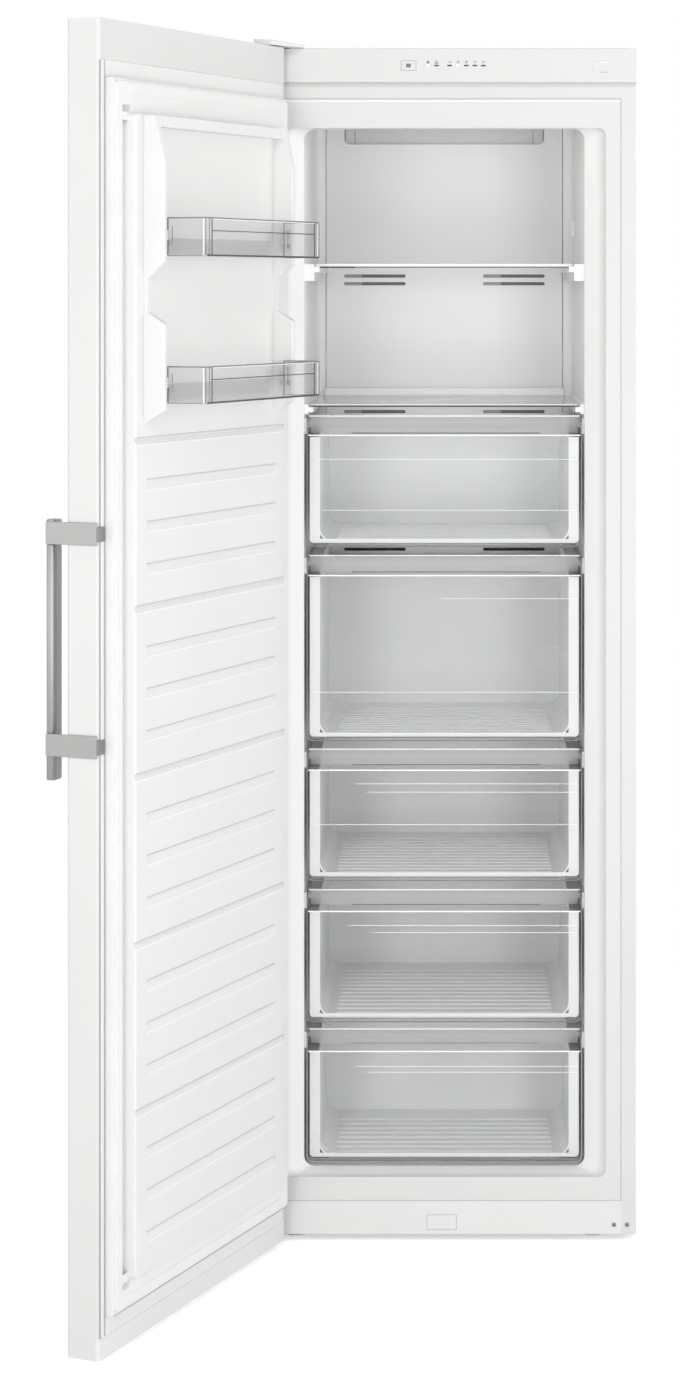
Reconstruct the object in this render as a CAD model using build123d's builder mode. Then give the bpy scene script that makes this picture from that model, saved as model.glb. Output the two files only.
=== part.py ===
from build123d import *
import os
from math import cos, radians, sin

# Upright no-frost freezer, door hung on the left and standing open.
# Millimetres. X runs right and Y runs back as seen from the front, Z runs up.
# The origin is on the floor, under the middle of the cabinet body.

os.makedirs("parts", exist_ok=True)

# ---------------------------------------------------------------- driving sizes
# A size that ends in _side is measured in from the wall that carries the piece, _rear forward
# from the back, _drop down from the top, and _depth or _front back from the body's front.
body_width = 595.0
body_depth = 584.0
body_bottom = 10.0
body_top = 1848.0
sheet = 0.7
steel_return = 23.5
steel_edge_radius = 1.5
top_return_drop = 78.0
seat_gap = 0.3
slip_gap = 1.0

# inner liner: its mouth, its room with the step over the machine bay, and its air duct
mouth_side = 46.8
mouth_bottom = 98.7
mouth_drop = 123.0
mouth_radius = 12.0
throat_depth = 45.0
throat_radius = 17.0
room_side = 78.0
room_floor = 103.0
room_drop = 96.0
room_rear = 104.0
room_corner = 12.0
hump_rear = 239.0
hump_top = 262.0
duct_side = 95.5
duct_rear = 54.0
duct_drop = 98.0
liner_wall = 1.5
floor_channel_side = 36.5
floor_channel_front = 47.0
floor_channel_width = 48.0
floor_channel_depth = 1.0

# plinth, fascia and controls
plinth_top = 62.0
plinth_wall = 2.5
flap_x = (-27.0, 19.0)
flap_z = (17.0, 40.0)
flap_line = 0.6
flap_line_depth = 0.4
front_screw_sides = (34.5, 14.3)
front_screw_height = 24.4
front_screw_radius = 3.6
fascia_height = 53.0
fascia_proud = 8.0
fascia_wall = 2.5
fascia_chamfer = 3.0
control_drop = 27.0
button_x = -55.3
button_size = (22.6, 14.6)
button_gap = 0.4
button_proud = 0.6
button_travel = 1.5
lens_size = (7.0, 2.2)
lens_places = (-25.3, -12.1, 8.2, 20.8, 34.1, 47.3, 60.5)
lens_gap = 0.1
board_half = 110.0
board_wall = 1.6
cap_side = 49.0
cap_drop = 28.5
cap_size = (36.0, 17.0)
cap_proud = 0.4

# machine bay and running gear
bay_rear = 200.0
bay_top = 215.0
bay_sheet = 1.0
tray_sheet = 1.5
tray_lip = 12.0
drain_radius = 8.0
drain_wall = 1.5
foot_side = 65.5
foot_depth = 45.0
foot_pad_radius = 19.0
foot_pad_height = 8.0
foot_stud_radius = 5.0
foot_stud_top = 42.0
foot_boss_radius = 9.0
foot_boss_height = 14.0
running_gap = 0.06
roller_side = 42.5
roller_rear = 28.0
roller_radius = 13.0
roller_width = 18.0
axle_radius = 3.0
ear_wall = 2.0

# shelves
glass_wall = 4.0
upper_shelf_rise = 220.0
upper_shelf_side = 16.1
upper_shelf_front = 103.0
lower_shelf_rise = 18.0
lower_shelf_side = 6.5
lower_shelf_front = 60.0
shelf_rear_gap = 6.0
upper_ledge_height = 26.0
lower_ledge_height = 15.0
shelf_lip = 8.0
shelf_ledge_front = 62.0

# drawers, top to bottom: heights of their fronts, and the gaps between them
drawer_base = 109.0
drawer_heights = (204.0, 288.5, 203.0, 203.0, 203.0)
drawer_gaps = (15.5, 16.0, 18.0, 16.0)
drawer_rear_gap = 34.0
low_drawer_rear_gap = 9.0
drawer_front_side = 5.5
drawer_front_wall = 2.5
drawer_front_rim = 12.0
drawer_front_corner = 9.0
grip_drop = 29.0
grip_depth = 50.0
grip_lean = 22.0
tub_side = 24.5
tub_wall = 2.2
tub_corner = 22.0
tub_lift = 5.0
tub_rim_drop = 9.5
tub_rim_wall = 2.5
tub_rim_side = 7.0
tub_back_drop = 36.0
tub_frame_side = 8.5
floor_rib_side = 25.0
floor_rib_pitch = 27.0
floor_rib_width = 3.0
floor_rib_height = 1.2
runner_side = 17.5
runner_tip_side = 4.5
runner_height = 8.0
runner_front = 101.0
runner_tip_front = 62.0
runner_setback = 6.0

# door, drawn shut and then swung about the hinge pins to where it stands
door_thickness = 50.0
door_gap = 16.0
door_bottom = 11.5
door_drop = 1.5
door_edge_radius = 5.0
door_swing = 112.3
pin_from_edge = 21.0
pin_from_face = 25.0
pin_radius = 5.0
top_cap_height = 56.5
bottom_cap_top = 41.0
cap_wall = 2.5
cap_lip = 2.0
socket_wall = 5.0
socket_height = 30.0
skin_return = 7.0
liner_edge_gap = 1.2
plug_side = 8.2
plug_bottom = 106.5
plug_drop = 125.0
plug_height = 26.0
plug_draft = 6.5
plug_radius = 12.0
plug_face_wall = 4.5
gasket_side = 19.0
gasket_width = 25.0
gasket_bottom = 68.6
gasket_drop = 80.5
gasket_height = 15.6
gasket_groove = 0.8

# dykes of the door liner that hold the bins; their drops are from the top of the plug
dyke_inset = 28.0
dyke_width = 11.0
dyke_bridge_wall = 15.0
dyke_proud = 57.0
dyke_top_proud = 43.0
dyke_waist_proud = 31.0
dyke_top_drop = 5.5
upper_slope_drop = 67.5
upper_bay_drop = 208.8
waist_top_drop = 232.5
waist_bottom_drop = 278.9
lower_slope_drop = 294.7
lower_bay_drop = 414.6
dyke_foot_drop = 432.5
panel_drop = 451.5
panel_groove_pitch = 231.8
panel_groove_count = 5
panel_groove_height = 12.5
panel_groove_depth = 3.2
rib_groove_pitch = 58.5
rib_groove_height = 19.0
rib_groove_depth = 2.6
rib_groove_side = 35.0

# door bins; their drops are from the top of the plug too
bin_side = 14.5
bin_drops = (200.5, 405.5)
bin_heights = (54.0, 52.0)
bin_back_proud = 30.0
bin_front_proud = 108.5
bin_wall = 2.2
bin_corner = 6.0
bin_hook_reach = 5.6
bin_hook_width = 16.0
peg_width = 8.0
peg_height = 14.0
peg_rise = 22.0
peg_proud_from_face = 44.0
peg_gap = 0.4

# handle, along the free edge of the door
handle_bottom = 800.5
handle_top = 1159.0
handle_width = 27.0
handle_wall = 14.0
handle_stand_off = 20.0
upper_bracket_drop = 18.5
lower_bracket_rise = 49.0
bracket_height = 31.0
bracket_wall = 2.5
bracket_tab_height = 20.0
bracket_tab_reach = 14.0

# hinges
hinge_plate_wall = 3.0
hinge_nose = 12.0
hinge_top_width = 64.0
hinge_bottom_width = 32.0
hinge_top_back = 52.0
hinge_bottom_back = 75.0
hinge_pin_length = 22.0
hinge_screw_radius = 5.0
hinge_screw_head = 3.5
hinge_screw_depths = (16.0, 38.0)
cover_wall = 1.8
cover_height = 12.0
cover_side = 6.5
cover_width = 75.0
cover_front = 72.0
cover_back = 62.0

# ---------------------------------------------------------------- derived sizes
half = body_width / 2
front_y = -body_depth / 2
seam_half = half - steel_return
inner_half = half - sheet
foam_back = body_depth - sheet - 1.5
top_return_bottom = body_top - top_return_drop
mouth_half = half - mouth_side
mouth_top = body_top - mouth_drop
room_half = half - room_side
room_ceiling = body_top - room_drop
room_back = body_depth - room_rear
hump_depth = body_depth - hump_rear
duct_half = half - duct_side
duct_top = body_top - duct_drop
duct_back = body_depth - duct_rear
floor_channel_half = room_half - floor_channel_side
fascia_bottom = body_top - fascia_height
control_height = body_top - control_drop
button_center = (button_x, control_height)
cap_center = (half - cap_side, body_top - cap_drop)
bay_depth = body_depth - bay_rear
foot_place = (half - foot_side, foot_depth)
roller_place = (half - roller_side, body_depth - roller_rear)

drawer_bottoms = [drawer_base]
for height, gap in zip(reversed(drawer_heights[1:]), reversed(drawer_gaps)):
    drawer_bottoms.insert(0, drawer_bottoms[0] + height + gap)
drawer_tops = [low + height for low, height in zip(drawer_bottoms, drawer_heights)]
drawer_backs = [room_back - drawer_rear_gap] * 4 + [hump_depth - low_drawer_rear_gap]
drawer_front_half = room_half - drawer_front_side
tub_half = room_half - tub_side
tub_outer_half = tub_half + tub_wall
tub_rim_half = room_half - tub_rim_side
tub_frame_half = room_half - tub_frame_side
floor_rib_half = tub_half - floor_rib_side
runner_half = room_half - runner_side
runner_tip_half = room_half - runner_tip_side
lower_shelf_top = drawer_tops[0] + lower_shelf_rise
lower_shelf_half = room_half - lower_shelf_side
upper_shelf_top = lower_shelf_top + upper_shelf_rise
upper_shelf_half = room_half - upper_shelf_side
shelf_back = room_back - shelf_rear_gap

door_face_y = front_y - door_gap
door_outer_y = door_face_y - door_thickness
door_top = body_top - door_drop
top_cap_bottom = door_top - top_cap_height
pin_x = -half + pin_from_edge
pin_y = door_face_y - pin_from_face
hinge_axis = Axis((pin_x, pin_y, 0), (0, 0, 1))
plug_half = mouth_half - plug_side
plug_top = door_top - plug_drop
gasket_outer_half = half - gasket_side
gasket_inner_half = gasket_outer_half - gasket_width
gasket_top = door_top - gasket_drop
dyke_outer_half = plug_half - dyke_inset
dyke_inner_half = dyke_outer_half - dyke_width
dyke_top = plug_top - dyke_top_drop
dyke_foot = plug_top - dyke_foot_drop
rib_groove_half = plug_half - rib_groove_side
bin_half = dyke_inner_half - bin_side
bin_bottoms = [plug_top - drop for drop in bin_drops]
bracket_centers = (handle_top - upper_bracket_drop, handle_bottom + lower_bracket_rise)
cover_left = half - cover_side
cover_right = cover_left - cover_width


def y_at(depth):
    """Y of a place measured back from the body's front."""
    return front_y + depth


def front_at(depth):
    """Plane facing the viewer, drawn in X and Z; a negative extrude runs backwards."""
    return Plane(origin=(0, y_at(depth), 0), x_dir=(1, 0, 0), z_dir=(0, -1, 0))


def side_at(x):
    """Plane facing right, drawn in Y and Z."""
    return Plane(origin=(x, 0, 0), x_dir=(0, 1, 0), z_dir=(1, 0, 0))


def level_at(height):
    """Plane facing up, drawn in X and Y."""
    return Plane.XY.offset(height)


def pane(x, y, mode=Mode.ADD):
    """Rectangle between two pairs of limits, in the sketch being drawn."""
    with Locations(((x[0] + x[1]) / 2, (y[0] + y[1]) / 2)):
        Rectangle(x[1] - x[0], y[1] - y[0], mode=mode)


def soft_pane(x, y, radius, mode=Mode.ADD):
    """Rectangle with round corners, in the sketch being drawn."""
    with Locations(((x[0] + x[1]) / 2, (y[0] + y[1]) / 2)):
        RectangleRounded(x[1] - x[0], y[1] - y[0], radius, mode=mode)


def block(x, y, z, mode=Mode.ADD):
    """Box between three pairs of limits, in the part being built."""
    with Locations(((x[0] + x[1]) / 2, (y[0] + y[1]) / 2, (z[0] + z[1]) / 2)):
        Box(x[1] - x[0], y[1] - y[0], z[1] - z[0], mode=mode)


def both_sides(inner, outer):
    """Pairs of X limits for a thing that stands on the left and on the right."""
    return ((-outer, -inner), (inner, outer))


def flared_mouth(grow, mode):
    """Air of the flared mouth; grow adds the liner's wall all round."""
    with BuildSketch(front_at(0)) as outside:
        soft_pane(
            (-mouth_half - grow, mouth_half + grow),
            (mouth_bottom - grow, mouth_top + grow),
            mouth_radius + grow,
        )
    with BuildSketch(front_at(throat_depth)) as throat:
        soft_pane(
            (-room_half - grow, room_half + grow),
            (room_floor - grow, mouth_top + grow),
            throat_radius + grow,
        )
    loft(sections=[outside.sketch, throat.sketch], mode=mode)


def room(grow, mode):
    """Air behind the mouth; grow adds the liner's wall all round."""
    for back, low, high in (
        (room_back, hump_top, room_ceiling),
        (hump_depth, room_floor, hump_top + 1),
    ):
        with BuildSketch(level_at(low - grow)) as plan:
            pane((-room_half - grow, room_half + grow), (y_at(throat_depth - grow), y_at(back + grow)))
            fillet(plan.vertices().group_by(Axis.Y)[-1], room_corner + grow)
        extrude(to_extrude=plan.sketch, amount=high - low + 2 * grow, mode=mode)
    block(
        (-duct_half - grow, duct_half + grow),
        (y_at(room_back), y_at(duct_back + grow)),
        (hump_top - grow, duct_top + grow),
        mode=mode,
    )


# ---------------------------------------------------------------- cabinet body
with BuildPart() as cabinet_wrap:
    with BuildSketch(front_at(0)):
        pane((-half, half), (body_bottom, body_top))
        pane((-inner_half, inner_half), (body_bottom, body_top - sheet), mode=Mode.SUBTRACT)
    extrude(amount=-body_depth)
    with BuildSketch(front_at(0)):
        pane((-half, half), (body_bottom, body_top))
        pane((-seam_half, seam_half), (body_bottom, top_return_bottom), mode=Mode.SUBTRACT)
    extrude(amount=-sheet)
    upright = cabinet_wrap.edges().filter_by(Axis.Z).filter_by_position(Axis.Y, front_y, front_y)
    fillet(upright.group_by(Axis.X)[0] + upright.group_by(Axis.X)[-1], steel_edge_radius)
cabinet_wrap.part.label = "cabinet_wrap"
export_step(cabinet_wrap.part, "parts/cabinet_wrap.step")

with BuildPart() as back_panel:
    block(
        (-inner_half, inner_half),
        (y_at(foam_back), y_at(foam_back + sheet)),
        (bay_top, body_top - sheet),
    )
    bead_width = 22.0
    bead_pitch = 120.0
    with BuildSketch(front_at(foam_back + sheet)):
        with Locations((0, (bay_top + body_top) / 2)):
            with GridLocations(bead_pitch, 0, 4, 1):
                SlotOverall(body_top - bay_top - 160, bead_width, rotation=90)
    extrude(amount=-(body_depth - foam_back - sheet), taper=30)
back_panel.part.label = "back_panel"
export_step(back_panel.part, "parts/back_panel.step")

with BuildPart() as bottom_pan:
    block(
        (-inner_half, inner_half),
        (y_at(plinth_wall), y_at(bay_depth)),
        (body_bottom, body_bottom + sheet),
    )
    for x in (-foot_place[0], foot_place[0]):
        with Locations((x, y_at(foot_place[1]), body_bottom)):
            Cylinder(foot_boss_radius, foot_boss_height, align=(Align.CENTER, Align.CENTER, Align.MIN))
            Cylinder(foot_stud_radius + running_gap, 3 * foot_boss_height, mode=Mode.SUBTRACT)
bottom_pan.part.label = "bottom_pan"
export_step(bottom_pan.part, "parts/bottom_pan.step")

# folded plate round the machine bay: two cheeks, the wall behind the foam and the roof
with BuildPart() as machine_bay_plate:
    block((-inner_half, inner_half), (y_at(bay_depth), y_at(body_depth)), (body_bottom, bay_top))
    block(
        (-inner_half + bay_sheet, inner_half - bay_sheet),
        (y_at(bay_depth + bay_sheet), y_at(body_depth)),
        (body_bottom, bay_top - bay_sheet),
        mode=Mode.SUBTRACT,
    )
    drain_depth = room_back + 25
    with Locations((0, y_at(drain_depth), bay_top)):
        Cylinder(drain_radius + seat_gap, 20, mode=Mode.SUBTRACT)
machine_bay_plate.part.label = "machine_bay_plate"
export_step(machine_bay_plate.part, "parts/machine_bay_plate.step")

# foam between the wrap and the liner, with room for the condenser on the right-hand side
condenser_radius = 2.5
condenser_runs = 5
condenser_pitch = 80.0
condenser_span = condenser_pitch * (condenser_runs - 1)
condenser_low = 330.0
condenser_high = upper_shelf_top - 14
condenser_front = 110.0
with BuildPart() as cabinet_foam:
    block(
        (-inner_half, inner_half),
        (y_at(sheet), y_at(foam_back)),
        (body_bottom + sheet, body_top - sheet),
    )
    flared_mouth(liner_wall, Mode.SUBTRACT)
    room(liner_wall, Mode.SUBTRACT)
    block(
        (-inner_half, inner_half),
        (y_at(bay_depth), y_at(body_depth)),
        (0, bay_top),
        mode=Mode.SUBTRACT,
    )
    block(
        (-seam_half, seam_half),
        (y_at(0), y_at(liner_wall)),
        (plinth_top, top_return_bottom),
        mode=Mode.SUBTRACT,
    )
    block(
        (-seam_half, seam_half),
        (y_at(0), y_at(plinth_wall)),
        (body_bottom, plinth_top),
        mode=Mode.SUBTRACT,
    )
    block(
        (inner_half - 2 * condenser_radius - seat_gap, inner_half),
        (y_at(condenser_front - 30), y_at(condenser_front + condenser_span + 30)),
        (condenser_low - 50, condenser_high + 50),
        mode=Mode.SUBTRACT,
    )
    for x in (-foot_place[0], foot_place[0]):
        with Locations((x, y_at(foot_place[1]), body_bottom)):
            Cylinder(
                foot_boss_radius + seat_gap,
                foot_stud_top - body_bottom + 4,
                align=(Align.CENTER, Align.CENTER, Align.MIN),
                mode=Mode.SUBTRACT,
            )
    with Locations((0, y_at(drain_depth), bay_top)):
        Cylinder(
            drain_radius + seat_gap,
            hump_top - bay_top,
            align=(Align.CENTER, Align.CENTER, Align.MIN),
            mode=Mode.SUBTRACT,
        )
cabinet_foam.part.label = "cabinet_foam"
export_step(cabinet_foam.part, "parts/cabinet_foam.step")

# thermoformed liner: flange, flared mouth, room with its runners and shelf ledges, air duct
with BuildPart() as inner_liner:
    block((-seam_half, seam_half), (y_at(0), y_at(liner_wall)), (plinth_top, top_return_bottom))
    flared_mouth(liner_wall, Mode.ADD)
    room(liner_wall, Mode.ADD)
    flared_mouth(0, Mode.SUBTRACT)
    room(0, Mode.SUBTRACT)
    for top in drawer_tops:
        runner_top = top - tub_rim_drop - tub_rim_wall - seat_gap
        runner_end = drawer_backs[drawer_tops.index(top)] - runner_setback
        for x in both_sides(runner_half, room_half + liner_wall / 2):
            block(x, (y_at(runner_front), y_at(runner_end)), (runner_top - runner_height, runner_top))
        for x in both_sides(runner_tip_half, room_half + liner_wall / 2):
            block(x, (y_at(runner_tip_front), y_at(runner_front)), (runner_top - 16, runner_top + 8))
    for shelf_top, shelf_half, ledge_height in (
        (upper_shelf_top, upper_shelf_half, upper_ledge_height),
        (lower_shelf_top, lower_shelf_half, lower_ledge_height),
    ):
        ledge_inner = shelf_half + slip_gap
        for x in both_sides(ledge_inner, room_half + liner_wall / 2):
            block(
                x,
                (y_at(shelf_ledge_front), y_at(room_back - room_corner)),
                (shelf_top - ledge_height, shelf_top),
            )
        for x in both_sides(ledge_inner - shelf_lip, ledge_inner):
            block(
                x,
                (y_at(shelf_ledge_front + 2), y_at(room_back - room_corner)),
                (shelf_top - glass_wall - seat_gap - shelf_lip, shelf_top - glass_wall - seat_gap),
            )
    with BuildSketch(level_at(room_floor)):
        soft_pane(
            (-floor_channel_half, floor_channel_half),
            (y_at(floor_channel_front), y_at(floor_channel_front + floor_channel_width)),
            10,
        )
    extrude(amount=-floor_channel_depth, mode=Mode.SUBTRACT)
    with Locations((0, y_at(drain_depth), hump_top)):
        Cylinder(drain_radius + seat_gap, 20, mode=Mode.SUBTRACT)
inner_liner.part.label = "inner_liner"
export_step(inner_liner.part, "parts/inner_liner.step")

with BuildPart() as plinth:
    block((-seam_half, seam_half), (y_at(0), y_at(plinth_wall)), (body_bottom, plinth_top))
    with BuildSketch(front_at(0)):
        pane(flap_x, flap_z)
        pane(
            (flap_x[0] + flap_line, flap_x[1] - flap_line),
            (flap_z[0] + flap_line, flap_z[1] - flap_line),
            mode=Mode.SUBTRACT,
        )
    extrude(amount=-flap_line_depth, mode=Mode.SUBTRACT)
plinth.part.label = "plinth"
export_step(plinth.part, "parts/plinth.step")

with BuildPart() as front_screws:
    for screw_side in front_screw_sides:
        with BuildSketch(front_at(0)):
            with Locations((half - screw_side, front_screw_height)):
                Circle(front_screw_radius)
        extrude(amount=2.0, taper=28)
front_screws.part.label = "front_screws"
export_step(front_screws.part, "parts/front_screws.step")

# ---------------------------------------------------------------- fascia and controls
board_front = -fascia_proud + fascia_wall + 2.4
with BuildPart() as control_fascia:
    with BuildSketch(front_at(-fascia_proud)):
        pane((-half, half), (fascia_bottom, body_top))
    extrude(amount=-fascia_proud)
    top_ends = control_fascia.edges().filter_by(Axis.Y).group_by(Axis.Z)[-1]
    chamfer(top_ends, fascia_chamfer)
    front_rim = control_fascia.faces().sort_by(Axis.Y)[0].outer_wire().edges()
    fillet(front_rim, 1.2)
    block(
        (-half + fascia_wall, half - fascia_wall),
        (y_at(-fascia_proud + fascia_wall), y_at(0)),
        (fascia_bottom + fascia_wall, body_top - fascia_wall),
        mode=Mode.SUBTRACT,
    )
    with BuildSketch(front_at(-fascia_proud)):
        with Locations(button_center):
            Rectangle(button_size[0] + 2 * button_gap, button_size[1] + 2 * button_gap)
        for x in lens_places:
            with Locations((x, control_height)):
                Rectangle(lens_size[0] + 2 * lens_gap, lens_size[1] + 2 * lens_gap)
    extrude(amount=-fascia_wall, mode=Mode.SUBTRACT)
    with BuildSketch(front_at(-fascia_proud)):
        with Locations(cap_center):
            RectangleRounded(cap_size[0], cap_size[1], 4)
    extrude(amount=cap_proud, taper=40)
    for x in (-100.0, 100.0):
        for z in (fascia_bottom + 12, body_top - 12):
            with BuildSketch(front_at(-fascia_proud + fascia_wall)):
                with Locations((x, z)):
                    Circle(2.5)
            extrude(amount=-(board_front + fascia_proud - fascia_wall))
control_fascia.part.label = "control_fascia"
export_step(control_fascia.part, "parts/control_fascia.step")

with BuildPart() as control_board:
    block(
        (-board_half, board_half),
        (y_at(board_front), y_at(board_front + board_wall)),
        (fascia_bottom + 6, body_top - 6),
    )
    switch_height = 0.9
    with BuildSketch(front_at(board_front)):
        with Locations(button_center):
            Rectangle(6, 6)
    extrude(amount=switch_height)
    chip_height = board_front + board_wall
    for x, width in ((-85.0, 18.0), (85.0, 14.0)):
        block(
            (x - width / 2, x + width / 2),
            (y_at(chip_height), y_at(chip_height + 1.1)),
            (control_height - 11, control_height + 3),
        )
control_board.part.label = "control_board"
export_step(control_board.part, "parts/control_board.step")

button_back = board_front - switch_height - seat_gap - button_travel
with BuildPart() as mode_button:
    with BuildSketch(front_at(-fascia_proud - button_proud)):
        with Locations(button_center):
            Rectangle(button_size[0], button_size[1])
    extrude(amount=-(button_back + fascia_proud + button_proud))
    fillet(mode_button.faces().sort_by(Axis.Y)[0].edges(), 0.5)
mode_button.part.label = "mode_button"
export_step(mode_button.part, "parts/mode_button.step")

with BuildPart() as indicator_lenses:
    with BuildSketch(front_at(-fascia_proud)):
        for x in lens_places:
            with Locations((x, control_height)):
                Rectangle(lens_size[0], lens_size[1])
    extrude(amount=-(board_front + fascia_proud - seat_gap))
indicator_lenses.part.label = "indicator_lenses"
export_step(indicator_lenses.part, "parts/indicator_lenses.step")

# ---------------------------------------------------------------- inside the room
lamp_half = 68.5
lamp_height = 25.5
lamp_front = 52.0
lamp_flat = 18.0
lamp_slope = 14.0
lamp_edge = 4.0
lamp_bottom = room_ceiling - lamp_height
with BuildPart() as ceiling_lamp:
    with BuildSketch(side_at(-lamp_half)):
        with BuildLine():
            Polyline(
                (y_at(lamp_front), room_ceiling - seat_gap),
                (y_at(lamp_front), lamp_bottom + lamp_edge),
                (y_at(lamp_front + lamp_edge), lamp_bottom),
                (y_at(lamp_front + lamp_edge + lamp_flat), lamp_bottom),
                (y_at(lamp_front + lamp_edge + lamp_flat + lamp_slope), room_ceiling - seat_gap),
                close=True,
            )
        make_face()
    extrude(amount=2 * lamp_half)
ceiling_lamp.part.label = "ceiling_lamp"
export_step(ceiling_lamp.part, "parts/ceiling_lamp.step")

sensor_size = (9.0, 40.0, 25.5)
sensor_rear = 45.0
sensor_drop = 164.0
with BuildPart() as sensor_cover:
    block(
        (room_half - sensor_size[0], room_half - seat_gap),
        (y_at(room_back - sensor_rear - sensor_size[1]), y_at(room_back - sensor_rear)),
        (room_ceiling - sensor_drop - sensor_size[2], room_ceiling - sensor_drop),
    )
    fillet(sensor_cover.faces().sort_by(Axis.X)[0].edges(), 4)
sensor_cover.part.label = "sensor_cover"
export_step(sensor_cover.part, "parts/sensor_cover.step")

cover_half = duct_half - slip_gap
air_cover_wall = 2.5
air_cover_top = duct_top - 2
vent_center = duct_half - 83.5
vent_size = (105.0, 5.5)
vent_drops = (17.0, 30.0, 248.0, 482.4)
air_return_half = duct_half - 32
air_return_bottom = air_cover_top - 26.5
cover_clips = 4
clips_below = 240.0
with BuildPart() as evaporator_cover:
    with BuildSketch(front_at(room_back)):
        pane((-cover_half, cover_half), (hump_top + seat_gap, air_cover_top))
        for drop in vent_drops:
            for x in (-vent_center, vent_center):
                with Locations((x, upper_shelf_top - drop)):
                    SlotOverall(vent_size[0], vent_size[1], mode=Mode.SUBTRACT)
        with Locations((0, air_cover_top)):
            RectangleRounded(
                2 * air_return_half,
                2 * (air_cover_top - air_return_bottom),
                9,
                mode=Mode.SUBTRACT,
            )
    extrude(amount=-air_cover_wall)
    # rim behind the air return, and clips down both sides that reach the duct's walls
    with BuildSketch(front_at(room_back + air_cover_wall)):
        with Locations((0, air_return_bottom - 3)):
            Rectangle(2 * air_return_half, 3)
    extrude(amount=-24)
    for x in both_sides(cover_half - 3, cover_half + slip_gap - seat_gap):
        for clip in range(cover_clips):
            z = hump_top + (air_cover_top - clips_below - hump_top) * (clip + 0.5) / cover_clips
            block(x, (y_at(room_back + air_cover_wall), y_at(room_back + 18)), (z - 15, z + 15))
evaporator_cover.part.label = "evaporator_cover"
export_step(evaporator_cover.part, "parts/evaporator_cover.step")

coil_half = duct_half - 24
coil_low = 640.0
coil_high = 900.0
coil_front = room_back + 8
coil_back = duct_back - 4
coil_tube = 4.5
coil_sides = 8
coil_rows = 5
fin_count = 14
fin_wall = 0.8
coil_middle = (coil_front + coil_back) / 2
with BuildPart() as evaporator_coil:
    fin_pitch = 2 * coil_half / (fin_count - 1)
    for fin in range(1, fin_count - 1):
        x = -coil_half + fin * fin_pitch
        block((x, x + fin_wall), (y_at(coil_front), y_at(coil_back)), (coil_low, coil_high))
    row_pitch = (coil_high - coil_low) / coil_rows
    rows = [coil_low + row_pitch * (row + 0.5) for row in range(coil_rows)]
    for z in rows:
        with BuildSketch(side_at(-coil_half - 6)):
            with Locations((y_at(coil_middle), z)):
                RegularPolygon(coil_tube, coil_sides)
        extrude(amount=2 * coil_half + 12)
    for row in range(coil_rows - 1):
        bend_x = (coil_half + 4) * (1 if row % 2 == 0 else -1)
        with BuildSketch(level_at(rows[row])):
            with Locations((bend_x, y_at(coil_middle))):
                RegularPolygon(coil_tube * 0.9, coil_sides)
        extrude(amount=row_pitch)
    # end plates, bent back at their edges to reach the duct's wall
    for x, tab in (
        ((-coil_half - 1.2, -coil_half), (-coil_half - 12, -coil_half)),
        ((coil_half, coil_half + 1.2), (coil_half, coil_half + 12)),
    ):
        block(x, (y_at(coil_front), y_at(coil_back)), (coil_low, coil_high))
        block(tab, (y_at(coil_back), y_at(duct_back - seat_gap)), (coil_low + 20, coil_high - 20))
evaporator_coil.part.label = "evaporator_coil"
export_step(evaporator_coil.part, "parts/evaporator_coil.step")

with BuildPart() as defrost_heater:
    heater_tube = 4.0
    heater_run = coil_half - 18
    heater_height = 618.0
    heater_y = y_at(coil_middle)
    with BuildLine() as heater_path:
        FilletPolyline(
            (-heater_run, heater_y, heater_height + 16),
            (-heater_run, heater_y, heater_height - 12),
            (heater_run, heater_y, heater_height - 12),
            (heater_run, heater_y, heater_height + 16),
            radius=10,
        )
    with BuildSketch(Plane(origin=heater_path.line @ 0, z_dir=heater_path.line % 0)):
        RegularPolygon(heater_tube, coil_sides)
    sweep()
    for x in (-120.0, 120.0):
        block(
            (x - 4, x + 4),
            (heater_y, y_at(duct_back - seat_gap)),
            (heater_height - 14, heater_height - 10),
        )
defrost_heater.part.label = "defrost_heater"
export_step(defrost_heater.part, "parts/defrost_heater.step")

# sloping gutter under the coil, and the pipe that takes its water down to the bay
gutter_high = 590.0
gutter_low = 560.0
gutter_wall = 2.0
with BuildPart() as drain_channel:
    gutter_y = (y_at(coil_front), y_at(duct_back - seat_gap))
    for side in (-1, 1):
        with BuildSketch(front_at(coil_front)):
            with BuildLine():
                Polyline(
                    (0, gutter_low),
                    (side * (duct_half - slip_gap), gutter_high),
                    (side * (duct_half - slip_gap), gutter_high + gutter_wall),
                    (0, gutter_low + gutter_wall),
                    close=True,
                )
            make_face()
        extrude(amount=-(duct_back - seat_gap - coil_front))
    with Locations((0, y_at(drain_depth), bay_top - 12)):
        Cylinder(
            drain_radius,
            gutter_low + 1 - bay_top + 12,
            align=(Align.CENTER, Align.CENTER, Align.MIN),
        )
        Cylinder(
            drain_radius - drain_wall,
            gutter_low + 20 - bay_top + 12,
            align=(Align.CENTER, Align.CENTER, Align.MIN),
            mode=Mode.SUBTRACT,
        )
drain_channel.part.label = "drain_channel"
export_step(drain_channel.part, "parts/drain_channel.step")

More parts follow.
